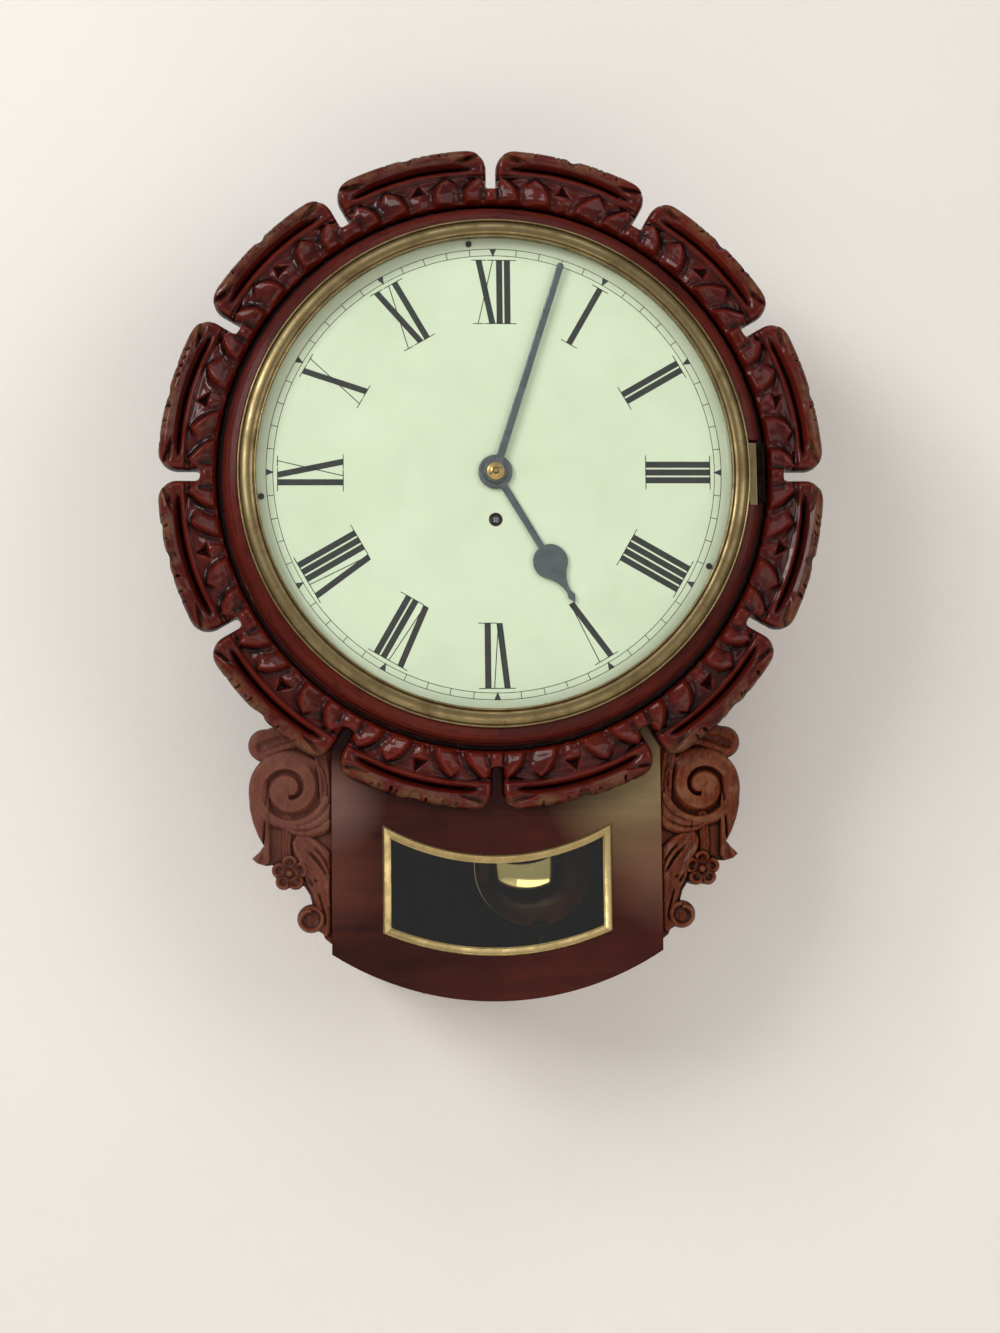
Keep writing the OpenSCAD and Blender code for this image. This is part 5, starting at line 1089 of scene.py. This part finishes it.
def c_leaf_form(x, y):
    """The C-shaped leaf under the scroll: it starts as a point, widens, and ends blunt against the drop."""
    dx, dy, r = round_about(x, y, SCROLL)
    turn = np.degrees(np.arctan2(-dx, -dy))
    inner = np.interp(turn, [-35, 0, 45, 75, 90], [17.9, 19.2, 20.6, 21.4, 21.4])
    outer = np.interp(turn, [-32, -16, 5, 24, 40, 58, 90], [18.0, 21.8, 28.4, 33.4, 36.0, 38.0, 38.0])
    q = (r - inner) / np.maximum(outer - inner, 0.3)
    to_end = -3.6 - dy - 0.12 * (x - 4)
    live = (q > 0) & (q < 1) & (turn > -34) & (to_end > 0)
    flute = q * 3.1 + 0.12 * np.sin(np.radians(turn * 3))
    folds = 1.5 * (np.abs(np.sin(np.pi * flute)) ** 0.6 - 0.55) * soft_step(-20, 20, turn)
    to_edge = np.clip(np.minimum(q, 1 - q) * (outer - inner), 0, None)
    lift = 3.9 + 0.9 * soft_step(20, 70, turn)
    return np.where(live, (lift + folds) * crowned(to_edge, 1.8) * crowned(to_end, 2.2, 0.4), ABSENT)


print("scroll and C-shaped leaf drawn")

# %% Husk, outer band and stalk
HUSK = [(39.6, -200), (41.6, -208), (41.4, -218), (41.8, -228), (42.8, -233.6), (46.0, -236.8), (50.2, -241),
        (48.6, -244.0), (44.5, -245.9), (40.6, -245.4), (38.0, -242), (38.4, -232), (38.6, -220), (38.8, -208)]
OUTER_BAND = [(40, -176), (50, -184), (51.9, -198), (51.4, -210), (49.2, -219), (46, -227), (43.0, -232.6),
              (41.6, -224), (40.6, -214), (40.2, -204)]


def husk_form(x, y):
    """The hanging husk: a narrow bell whose lower edge flares out to a torn tip."""
    d = from_polygon(x, y, HUSK)
    fan = np.degrees(np.arctan2(x - 39.6, -(y + 214)))
    folds = 0.9 * np.cos(np.radians(fan * 22 + 15)) + 0.3 * np.cos(np.radians(fan * 61))
    folds = folds * soft_step(-226, -236, y)
    fold_line = np.clip(1 - np.abs(x - 41.0 + 0.06 * (y + 230)) / 0.8, 0, 1) * soft_step(-236, -230, y)
    sag = np.interp(y, [-246, -238, -222, -200], [3.4, 5.0, 5.4, 4.6])
    return np.where(d < 0, (sag + folds + 1.6 * fold_line) * crowned(-d, 1.4), ABSENT)


def outer_band_form(x, y):
    """The plain band on the ear's outer side, behind the husk."""
    d = from_polygon(x, y, OUTER_BAND)
    return np.where(d < 0, 4.3 * crowned(-d, 3.2) + 0.02 * (y + 215), ABSENT)


def stalk_form(x, y):
    """The stalk that the flower hangs from, with a few ripples along it."""
    d, along = from_line(x, y, [(27.5, -217), (28.0, -226), (28.6, -234), (27.5, -243)])
    half = 3.6 - 0.8 * along
    return np.where(d < half, 3.0 * crowned(half - d, 1.6, 0.35) + 0.45 * np.cos(d * 3.0), ABSENT)


print("husk, outer band and stalk drawn")

# %% Low leaf, flower and foot
LOW_LEAF = [(0.1, -238), (4, -233.6), (9, -229.6), (15, -227), (22, -226), (25.0, -231), (23.5, -240),
            (19.5, -247), (16.6, -255), (12.6, -262), (10.5, -267), (5, -268), (0.1, -274)]
LEAF_SLITS = ([(18.5, -233.5), (13.0, -238.5), (8.0, -244.0), (3.6, -251.0), (1.4, -257.0)],
              [(12.5, -233.0), (7.5, -238.0), (3.6, -243.5), (0.9, -250.0)],
              [(17.0, -250.0), (13.0, -256.5), (8.4, -263.0), (5.2, -270.0)],
              [(11.6, -253.0), (7.4, -259.0), (3.4, -266.5)])


def low_leaf_form(x, y):
    """The long leaf that sweeps down to the foot: nearly smooth, with a few deep slits along it."""
    d = from_polygon(x, y, LOW_LEAF)
    spine, along = from_line(x, y, [(23, -226), (15, -236), (10.5, -246), (8.0, -258), (6.8, -268)])
    height = 4.1 + 0.35 * np.cos(spine * 0.9 + along * 2.0) + 0.8 * np.exp(-((spine - 7.0) / 2.4) ** 2)
    for slit in LEAF_SLITS:
        height = height - groove(x, y, slit, 1.15, 2.4, 0.3)
    return np.where(d < 0, height * crowned(-d, 2.4), ABSENT)


def flower_form(x, y):
    """Five cupped petals with raised rims round a small boss in a dark hollow."""
    dx, dy, r = round_about(x, y, FLOWER)
    turn = np.degrees(np.arctan2(dy, dx)) - 90
    height = np.where(r < FLOWER_HEART, 1.0, ABSENT)
    for petal in FLOWER_PETALS:
        from_tip = from_circle(x, y, petal, 0)
        cup = 2.4 + 4.2 * soft_step(1.2, 4.4, from_tip) * soft_step(3.0, 5.6, r)
        cup = cup * crowned(PETAL_R - from_tip, 0.9, 0.6)
        height = np.maximum(height, np.where(from_tip < PETAL_R, cup, ABSENT))
    split = np.clip(1 - (np.radians(np.abs((turn % 72) - 36)) * r / 0.9) ** 2, 0, 1)
    height = np.where(height > 0, height - 2.2 * split * soft_step(3.6, 6.0, r), height)
    height = np.where(r < 5.0, np.minimum(height, 0.6 + 0.5 * r), height)
    boss_r = 2.6
    return np.where(r < boss_r, 1.6 + 3.4 * np.sqrt(np.clip(1 - (r / boss_r) ** 2, 0, 1)), height)


def foot_form(x, y):
    """The small scroll at the foot: a dished disc whose raised rim runs on into the stem."""
    dx, dy, r = round_about(x, y, FOOT_SCROLL)
    turn = np.degrees(np.arctan2(-dx, dy)) % 360
    rim_line = 6.9 - 2.2 * np.clip((turn - 250) / 110, 0, 1)
    dish = 1.9 + 1.5 * np.clip(r / 7.0, 0, 1) ** 2
    rim = 3.1 * np.clip(1 - (np.abs(r - rim_line) / 1.7) ** 2, 0, 1)
    disc = np.where(r < FOOT_R, (dish + rim) * crowned(FOOT_R - r, 1.2, 0.5), ABSENT)
    stem, along = from_line(x, y, [(8.0, -260), (6.2, -268), (3.6, -277), (4.4, -286)])
    half = 4.9 - 1.0 * along
    hollow = groove(x, y, [(8.6, -262), (6.6, -269), (4.4, -277), (4.6, -284)], 0.9, 1.6)
    return np.maximum(disc, np.where(stem < half, 4.0 * crowned(half - stem, 2.0) - hollow, ABSENT))


print("low leaf, flower and foot drawn")

# %% Rolled leaf, upright stems, and all the forms together
def roll_form(x, y):
    """The leaf over the scroll: a long hollow that ends in a round lip."""
    d, along = from_line(x, y, [(6, -163), (22, -163.5), (34, -167), (41.5, -170)])
    half = 7.0 + 3.2 * along
    hollow, deep_along = from_line(x, y, [(12, -164), (26, -165.5), (37, -168.5), (43.5, -171)])
    taken = 2.9 * np.clip(1 - (hollow / (2.2 + 1.8 * deep_along)) ** 2, 0, 1)
    body = np.where(d < half, 4.0 * crowned(half - d, 2.6), ABSENT)
    body = body - np.where(body > 0, taken, 0)
    under = groove(x, y, [(10, -171), (24, -172), (35, -175.5), (42, -178)], 1.1, 1.6)
    return body - np.where(body > 0, under, 0)


def strip_form(x, y):
    """Upright stems between the scroll and the side of the drop."""
    d, _ = from_line(x, y, [(9, -166), (4.5, -176), (1.8, -190), (0.6, -206)])
    return np.where(d < 6.5, 2.9 + 0.8 * np.cos(d * 1.0 + 0.4), ABSENT)


EAR_FORMS = (strip_form, outer_band_form, scroll_form, c_leaf_form, low_leaf_form, stalk_form,
             roll_form, husk_form, foot_form, flower_form)


def ear_carving(x, y, inside, hand):
    """Depth of the ear's front: the highest form at each place, with the marks of one carver's hand."""
    height = np.full_like(x, 0.5)
    for form in EAR_FORMS:
        height = np.maximum(height, form(x, y))
    tooling = 0.10 * np.sin(x * 1.3 + hand) * np.sin(y * 1.1 + hand * 2)
    tooling = tooling + 0.07 * np.sin(x * 3.1 - y * 2.3 + hand)
    height = (height + tooling) * crowned(inside, 2.4, 0.25)
    return EAR_GROUND - np.clip(height, 0.2, 7.0)


print("heights on the scroll, the husk and the flower:",
      [round(float(EAR_GROUND - ear_carving(np.array([px]), np.array([py]), np.array([9.0]), 0.0)[0]), 1)
       for px, py in ((27.0, -186.0), (40.0, -236.0), FLOWER)])

# %% Carve both ears
for label, mirror, hand in (("right", 1, 0.4), ("left", -1, 2.1)):
    points, faces, edges, z = relief(
        ear_outline, lambda x, y, inside: ear_carving(x, y, inside, hand), (0, -296), (53, -152), 0.42,
        EAR_BACK, lambda x, y, z: at(mirror * (TRUNK_SIDE + np.maximum(x, 0.1)), y, z))
    level_of = hollows(edges, EAR_GROUND - z, 22)
    crest = soft_step(3.6, 5.0, EAR_GROUND - z)
    make_piece(f"carved_ear_{label}", points, faces, "case", ear_wood, ["carved_ears"], 60,
               {"cavity": np.concatenate([level_of, np.full(len(z), 0.4)]),
                "rubbed": np.concatenate([crest, np.zeros(len(z))])})

# %% [markdown]
# ## Turned rings
# The bezel was spun in a lathe, so its section is drawn once and swept round
# the dial's axis. The same tool makes the glass, the collet and the bob.

# %% A lathe
def turned(section, steps=360, centre=(0.0, 0.0), closed=True):
    """Sweeps a section of (radius, depth) pairs round an axis through centre, square to the dial."""
    section = np.asarray(section, float)
    turn = np.linspace(0, 2 * np.pi, steps, endpoint=False)
    r, z = section[:, 0][:, None], section[:, 1][:, None]
    points = at(centre[0] + r * np.sin(turn), centre[1] + r * np.cos(turn), z + 0 * turn).reshape(-1, 3)
    return points, sheet_faces(len(section), steps, wrap=True, closed=closed)


def turned_lens(section, tips, steps, centre=(0.0, 0.0)):
    """A section that starts and ends close to the axis, closed by a point on it at each tip's depth."""
    points, faces = turned(section, steps, centre, closed=False)
    count, ring = len(points), np.arange(steps)
    ahead, last = np.roll(ring, -1), count - steps
    faces += np.stack([ahead, ring, np.full(steps, count)], axis=-1).tolist()
    faces += np.stack([last + ring, last + ahead, np.full(steps, count + 1)], axis=-1).tolist()
    return np.concatenate([points, [at(*centre, tip) for tip in tips]]), faces


def bow(centre, r, start, end, steps):
    """Points of an arc in a section, angles in degrees."""
    turn = np.radians(np.linspace(start, end, steps))
    return [(centre[0] + r * math.cos(t), centre[1] - r * math.sin(t)) for t in turn]


print("a turned square of 4 sides:", len(turned([(1, 0), (2, 0), (2, 1), (1, 1)], 4)[1]), "faces")


# %% [markdown]
# ## The bezel
# From outside in: a thin bright wire, a dark line, one broad soft swell of
# dull brass, another dark line, and a thin inner edge against the glass.

# %% Bezel
BEZEL_IN, BEZEL_OUT, SEAT = 149.6, 161.4, -5.0
GLASS_LEDGE, SKIRT_IN, SKIRT_OUT, SKIRT_BACK = -5.85, 153.42, 154.98, -0.3
WIRE_R, EDGE_R, SWELL = 0.6, 0.62, 1.5
swell_from, swell_to = (BEZEL_OUT - 1.75, SEAT - 2.3), (BEZEL_IN + 2.0, SEAT - 3.5)


def on_swell(t):
    """The broad swell between its two ends, t from 0 to 1."""
    r = swell_from[0] + (swell_to[0] - swell_from[0]) * t
    depth = swell_from[1] + (swell_to[1] - swell_from[1]) * t
    return r, depth - SWELL * (1 - abs(2 * t - 1) ** 2.4)


bezel_section = (
    [(BEZEL_IN, GLASS_LEDGE), (SKIRT_IN, GLASS_LEDGE), (SKIRT_IN, SKIRT_BACK), (SKIRT_OUT, SKIRT_BACK),
     (SKIRT_OUT, SEAT), (BEZEL_OUT - 0.2, SEAT), (BEZEL_OUT, SEAT - 0.2)]
    + bow((BEZEL_OUT - WIRE_R, SEAT - 2.5), WIRE_R, 0, 170, 8) + [(BEZEL_OUT - 1.3, SEAT - 1.9)]
    + [on_swell(t) for t in np.linspace(0, 1, 15)] + [(BEZEL_IN + 1.6, SEAT - 3.1)]
    + bow((BEZEL_IN + EDGE_R, SEAT - 4.2), EDGE_R, 10, 180, 8)
)
points, faces = turned(bezel_section, 540)
make_piece("brass_bezel_ring", points, faces, "bezel", bezel_brass, ["bezel"], 28)

# %% [markdown]
# ## The bezel's hinge leaf
# A strip of brass is let into the back of the bezel at three o'clock and wraps
# round the hinge pin. From the front only its plain plate shows, in a dark
# recess of the ring.

# %% Hinge leaf
PIN_X, PIN_Z, PIN_R, KNUCKLE_HALF, KNUCKLE_R = 167.5, -2.8, 0.95, 6.2, 2.0
PLATE_END, PLATE_LOW, PLATE_HIGH, LEAF_BACK = 165.6, -21.4, 17.8, -4.93


def block(low, high, soft=0.25):
    """Points and faces of a bar between two corners (x, y, z), with its edges softened."""
    solid = bmesh.new()
    bmesh.ops.create_cube(solid, size=1.0)
    for corner in solid.verts:
        corner.co = [low[k] if corner.co[k] < 0 else high[k] for k in range(3)]
    bmesh.ops.bevel(solid, geom=list(solid.edges), offset=soft, segments=2, affect="EDGES")
    solid.verts.index_update()
    points = at(*np.array([v.co[:] for v in solid.verts]).T)
    faces = [[v.index for v in f.verts] for f in solid.faces]
    solid.free()
    return points, faces


def gathered(*shapes):
    """Several lists of points and faces as one."""
    points, faces, start = [], [], 0
    for some_points, some_faces in shapes:
        points.append(np.asarray(some_points))
        faces += [[i + start for i in face] for face in some_faces]
        start += len(some_points)
    return np.concatenate(points), faces


turn = np.linspace(0, 2 * np.pi, 40, endpoint=False)
knuckle_half_section = [(PIN_R, KNUCKLE_HALF), (KNUCKLE_R - 0.2, KNUCKLE_HALF), (KNUCKLE_R, KNUCKLE_HALF - 0.2)]
knuckle_section = [(r, -y) for r, y in knuckle_half_section] + knuckle_half_section[::-1]
knuckle = np.concatenate([at(PIN_X + r * np.cos(turn), y + 0 * turn, PIN_Z + r * np.sin(turn))
                          for r, y in knuckle_section])
knuckle_points, knuckle_faces = gathered(
    (knuckle, sheet_faces(len(knuckle_section), len(turn), wrap=True, closed=True)),
    block((163.0, 0.2 - KNUCKLE_HALF, -4.95), (PIN_X, KNUCKLE_HALF - 0.2, -4.2), 0.1),
)
# the knuckle sits in the ring's dark recess: its near-black brass is painted shade
make_piece("hinge_leaf_knuckle", knuckle_points, knuckle_faces, "bezel", shade_and_tarnish_brass,
           ["bezel_hinge_leaf"], 40)
leaf_points, leaf_faces = gathered(
    block((161.2, PLATE_LOW, -5.9), (PLATE_END, PLATE_HIGH, LEAF_BACK)),
    block((155.8, -18.4, -5.7), (161.3, 18.4, LEAF_BACK), 0.15),
)
make_piece("brass_hinge_leaf", leaf_points, leaf_faces, "bezel", bezel_brass, (), 40)

# %% [markdown]
# ## The domed glass
# Dial glasses of this age were blown and slumped, so the dome is a slice of a
# sphere. Real thickness matters: the two faces make the double reflection.

# %% Glass
GLASS_R, GLASS_RISE, GLASS_THICK, GLASS_EDGE = 153.2, 10.5, 1.8, -5.2
BALL_R = (GLASS_R**2 + GLASS_RISE**2) / (2 * GLASS_RISE)


def front_face(r):
    """Depth of the glass's front at radius r."""
    return GLASS_EDGE - (np.sqrt(BALL_R**2 - r**2) - np.sqrt(BALL_R**2 - GLASS_R**2))


glass_r = np.linspace(GLASS_R, 0.4, 60)
glass_section = [(r, front_face(r)) for r in glass_r[::-1]]
glass_section += [(r, front_face(r) + GLASS_THICK) for r in glass_r]
apex = GLASS_EDGE - GLASS_RISE
points, faces = turned_lens(glass_section, (apex, apex + GLASS_THICK), 240)
make_piece("domed_glass", points, faces, "bezel", dial_glass, ["bezel_glass"], 40)

# %% [markdown]
# ## Painting the dial
# A dial painter works with a ruling pen and one fine brush: two thin circles
# for the minutes, a tick for each minute, a small wedge at each five, and the
# hours in Roman numerals with a thick and a thin stroke. Each stroke is a thin
# raised film, so that it stays crisp from any distance.

# %% The painted plate
PLATE_R, PAINT_FRONT = 155.0, -0.10
WINDING_HOLE = (0.0, -30.0)


def strokes(outlines, depth, thick):
    """Thin solid films from flat outlines."""
    points, faces = [], []
    for corners in outlines:
        n, k = len(points), len(corners)
        ahead = corners[1:] + corners[:1]
        if sum(p[0] * q[1] - q[0] * p[1] for p, q in zip(corners, ahead)) < 0:
            corners = corners[::-1]
        points += [tuple(at(x, y, z)) for z in (depth - thick, depth) for x, y in corners]
        faces.append([n + i for i in range(k)])
        faces.append([n + k + i for i in range(k)][::-1])
        faces += [[n + (i + 1) % k, n + i, n + k + i, n + k + (i + 1) % k] for i in range(k)]
    return points, faces


def on_dial(u, r, turn):
    """A place u to the clockwise side of a line at that turn (degrees from twelve), r out from the centre."""
    t = math.radians(turn)
    return (u * math.cos(t) + r * math.sin(t), r * math.cos(t) - u * math.sin(t))


TRACK_OUT, TRACK_IN, LINE, TICK_HALF, WEDGE_HALF = 143.5, 139.2, 0.42, 0.24, 2.1
FOOT_LINE, HEAD_LINE = 95.5, 136.5
THICK, THIN, SERIF = 3.9, 0.6, 0.55


def placed(outline, turn):
    return [on_dial(u, r, turn) for u, r in outline]


def ring_line(r, width, steps=360):
    """A thin circle as a chain of four-cornered strokes."""
    turns = [360 * i / steps for i in range(steps + 1)]
    return [[on_dial(0, r, a0), on_dial(0, r + width, a0), on_dial(0, r + width, a1), on_dial(0, r, a1)]
            for a0, a1 in zip(turns, turns[1:])]


tick = [(-TICK_HALF, TRACK_IN), (TICK_HALF, TRACK_IN), (TICK_HALF, TRACK_OUT), (-TICK_HALF, TRACK_OUT)]
wedge = [(-WEDGE_HALF, TRACK_OUT + 0.1), (WEDGE_HALF, TRACK_OUT + 0.1), (0, TRACK_IN - 0.6)]
track = ring_line(TRACK_OUT, LINE) + ring_line(TRACK_IN, LINE)
track += [placed(tick if minute % 5 else wedge, 6 * minute) for minute in range(60)]
print("strokes in the minute track:", len(track))

# %% [markdown]
# Each letter is a list of strokes across a cell. `I` is one thick bar; `V` is
# a thick stroke down and a thin one up; `X` is a thick diagonal crossed by a
# thin one. Serifs are thin lines across the ends.

# %% Roman numerals
def bar(x0, x1, width):
    """A stroke from x0 on the head line to x1 on the foot line, of that width along the line."""
    half = width / 2
    return [(x0 - half, HEAD_LINE), (x0 + half, HEAD_LINE), (x1 + half, FOOT_LINE), (x1 - half, FOOT_LINE)]


def serif(middle, half, r):
    low, high = r - SERIF / 2, r + SERIF / 2
    return [(middle - half, low), (middle + half, low), (middle + half, high), (middle - half, high)]


LETTERS = {
    "I": (5.0, [bar(0, 0, THICK), serif(0, 5.8, HEAD_LINE), serif(0, 5.8, FOOT_LINE)]),
    "V": (11.6, [bar(-3.8, 0.9, THICK), bar(4.4, 1.6, THIN), serif(-3.8, 5.0, HEAD_LINE),
                 serif(4.4, 3.4, HEAD_LINE)]),
    "X": (12.8, [bar(-4.2, 4.2, THICK), bar(4.8, -4.8, THIN), serif(-4.2, 4.6, HEAD_LINE),
                 serif(4.6, 3.4, HEAD_LINE), serif(-4.6, 3.4, FOOT_LINE), serif(4.2, 4.6, FOOT_LINE)]),
}
NUMERALS = ["XII", "I", "II", "III", "IIII", "V", "VI", "VII", "VIII", "IX", "X", "XI"]
hours = []
for hour, letters in enumerate(NUMERALS):
    left = -sum(LETTERS[letter][0] for letter in letters) / 2
    for letter in letters:
        advance, parts = LETTERS[letter]
        hours += [placed([(left + advance / 2 + u, r) for u, r in part], 30 * hour) for part in parts]
        left += advance
points, faces = strokes(track + hours, PAINT_FRONT, 0.06)
make_piece("dial_markings", points, faces, "case", dial_black, (), 30)

# %% [markdown]
# The paint itself is a film over the plate, 0.09 mm thick, with a hole for the
# winding square and one for the hands' pipe.

# %% The paint over the plate
FILM_THICK = 0.00009
WINDING_HOLE_R, PIPE_HOLE_R = 4.4, 4.7


def circle_about(centre, r, steps):
    turns = np.linspace(0, 2 * np.pi, steps, endpoint=False)
    return [(centre[0] + r * math.sin(t), centre[1] + r * math.cos(t)) for t in turns]


paint = bmesh.new()
edges = []
for ring in (circle_about((0, 0), PLATE_R - 0.1, 240), circle_about(WINDING_HOLE, WINDING_HOLE_R, 48),
             circle_about((0, 0), PIPE_HOLE_R, 48)):
    corners = [paint.verts.new(tuple(at(x, y, PAINT_FRONT))) for x, y in ring]
    edges += [paint.edges.new(pair) for pair in zip(corners, corners[1:] + corners[:1])]
bmesh.ops.triangle_fill(paint, edges=edges, use_beauty=True)
bmesh.ops.recalc_face_normals(paint, faces=paint.faces)
if sum(f.normal.y for f in paint.faces) > 0:
    bmesh.ops.reverse_faces(paint, faces=paint.faces)
lifted = bmesh.ops.extrude_face_region(paint, geom=list(paint.faces))
for corner in [g for g in lifted["geom"] if isinstance(g, bmesh.types.BMVert)]:
    corner.co.y += FILM_THICK
paint.verts.index_update()
points = [tuple(v.co) for v in paint.verts]
faces = [[v.index for v in f.verts] for f in paint.faces]
paint.free()
make_piece("dial_paint_film", points, faces, "case", dial_paint, (), 30)

# %% [markdown]
# ## The hands
# The hour hand ends in a spade, the minute hand is a plain tapered bar. Both
# were sawn from thin steel, filed to a soft bevel, and blued over a flame. They
# are cut inside their outline as the ears were, with a bevel for a carving.

# %% Cut the hands
HOUR_TURN, MINUTE_TURN = 149.2, 17.9
HAND_THICK = 0.9
HALF_SPADE = [(10.3, 69.8), (6.2, 75.5), (3.4, 80.0), (1.9, 84.0), (1.3, 88.5), (2.5, 92.0)]
HALF_BAR = [(2.5, 0), (2.1, 138.2), (1.5, 139.9)]


def both_halves(half, tip=()):
    """An outline from its right half, given from one end to the tip."""
    return [(-x, y) for x, y in half] + list(tip) + half[::-1]


def hand_piece(name, outline, length, turn, front, hole, body, node):
    t = math.radians(turn)

    def whole(x, y):
        return np.maximum(outline(x, y), -from_circle(x, y, (0, 0), hole))

    def bevel(x, y, inside):
        return front + 0.5 * HAND_THICK * (1 - rounded(inside, 1.0))

    def to_frame(x, y, z):
        return at(x * math.cos(t) + y * math.sin(t), y * math.cos(t) - x * math.sin(t), z)

    points, faces, *_ = relief(whole, bevel, (-12, -12), (12, length + 0.5), 0.34, front + HAND_THICK, to_frame)
    make_piece(name, points, faces, body, blued_steel, [node], 50)


def spade_hand(x, y):
    boss, leaf = from_circle(x, y, (0, 0), 10.8), from_circle(x, y, (0, 66.3), 11.0)
    point = from_polygon(x, y, both_halves(HALF_SPADE, [(0, 96.4)]))
    shaft = from_polygon(x, y, [(-2.3, 0), (-2.0, 60), (2.0, 60), (2.3, 0)])
    return join(boss, leaf, point, shaft, soft=0.8)


def bar_hand(x, y):
    boss, tip = from_circle(x, y, (0, 0), 7.4), from_circle(x, y, (0, 138.6), 1.8)
    return join(boss, from_polygon(x, y, both_halves(HALF_BAR)), tip, soft=1.2)


hand_piece("spade_hour_hand", spade_hand, 96.5, HOUR_TURN, -2.9, 4.4, "hour", "hour_hand")
hand_piece("bar_minute_hand", bar_hand, 140.4, MINUTE_TURN, -4.6, 2.6, "centre", "minute_hand")

# %% [markdown]
# ## The window's moulding
# A brass frame with one flat bevel holds the glass in the drop: its outer edge
# stands proud and its face slopes in to the glass. Its long sides are bowed
# and its corners are mitred, which a sweep along the window's outline gives:
# the section is set square to the outline, and at a corner it lies on the line
# that halves the angle.

# %% Window moulding
WINDOW_HALF = 72.3
TOP_Y, TOP_BOW, FOOT_Y, FOOT_BOW = -240.3, 141.9, -303.5, 181.7


def window_line(inset, steps=64):
    """The window's outline, drawn in by inset: straight sides, and edges that both bow downwards."""
    half = WINDOW_HALF - inset
    x = np.linspace(-half, half, steps)
    upper = TOP_Y + TOP_BOW - np.sqrt((TOP_BOW + inset) ** 2 - x**2)
    lower = FOOT_Y + FOOT_BOW - np.sqrt((FOOT_BOW - inset) ** 2 - x**2)
    return np.concatenate([np.stack([x, lower], 1), np.stack([x[::-1], upper[::-1]], 1)])


# how far in from the outer edge, and the depth there
moulding_section = [(0.0, 21.4), (0.0, 17.9), (0.55, 17.8), (0.6, 16.2), (0.8, 15.85), (1.2, 15.78),
                    (1.5, 15.88), (4.35, 16.95), (4.6, 17.15), (4.7, 19.4), (5.25, 19.6), (5.3, 21.4)]
points = [at(*window_line(inset).T, depth) for inset, depth in moulding_section]
faces = sheet_faces(len(points), len(points[0]), wrap=True, closed=True)
make_piece("brass_window_moulding", np.concatenate(points), faces, "case", case_brass, ["window_moulding"], 25)

# %% [markdown]
# ## Collet, bob and the small turned things
# A domed brass collet holds the minute hand down. The bob is a brass lens
# filled with lead, polished on a wheel: it is a convex mirror, and in a dark
# case it is what catches the eye.

# %% The collet
COLLET_BACK = -4.62
# radius, and how far in front of its back
collet_steps = [(2.4, 0), (5.35, 0), (5.5, 0.2), (5.5, 0.75), (5.2, 1.0), (4.55, 1.25), (4.25, 1.7),
                (3.3, 2.35), (2.65, 2.9), (2.4, 2.95)]
points, faces = turned([(r, COLLET_BACK - proud) for r, proud in collet_steps], 96)
make_piece("brass_collet", points, faces, "centre", movement_brass, ["hand_collet"], 40)

# %% The bob
bob_low, bob_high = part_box("pendulum_bob")
bob_middle = (bob_low + bob_high) / 2
bob_depth = bob_middle.y * 1000 + FACE_FROM_WALL
bob_centre = (bob_middle.x * 1000, bob_middle.z * 1000 + HOOK_ABOVE_CENTRE)
BOB_R, BOB_FACE_R = 39.95, 55.7
face_r = np.linspace(39.2, 0.05, 44)
swell = np.sqrt(BOB_FACE_R**2 - face_r**2) - math.sqrt(BOB_FACE_R**2 - 40.0**2)
back_half = [(BOB_R, 0.4), (BOB_R - 0.3, 0.75), *zip(face_r, swell)]
bob_section = [(r, bob_depth - out) for r, out in back_half[::-1]]
bob_section += [(r, bob_depth + out) for r, out in back_half]
points, faces = turned_lens(bob_section, (bob_depth - swell[-1], bob_depth + swell[-1]), 192, bob_centre)
make_piece("brass_bob", points, faces, "bob", pendulum_brass, ["pendulum_bob"], 40)
print("bob at (mm):", [round(v, 1) for v in (*bob_centre, bob_depth)])
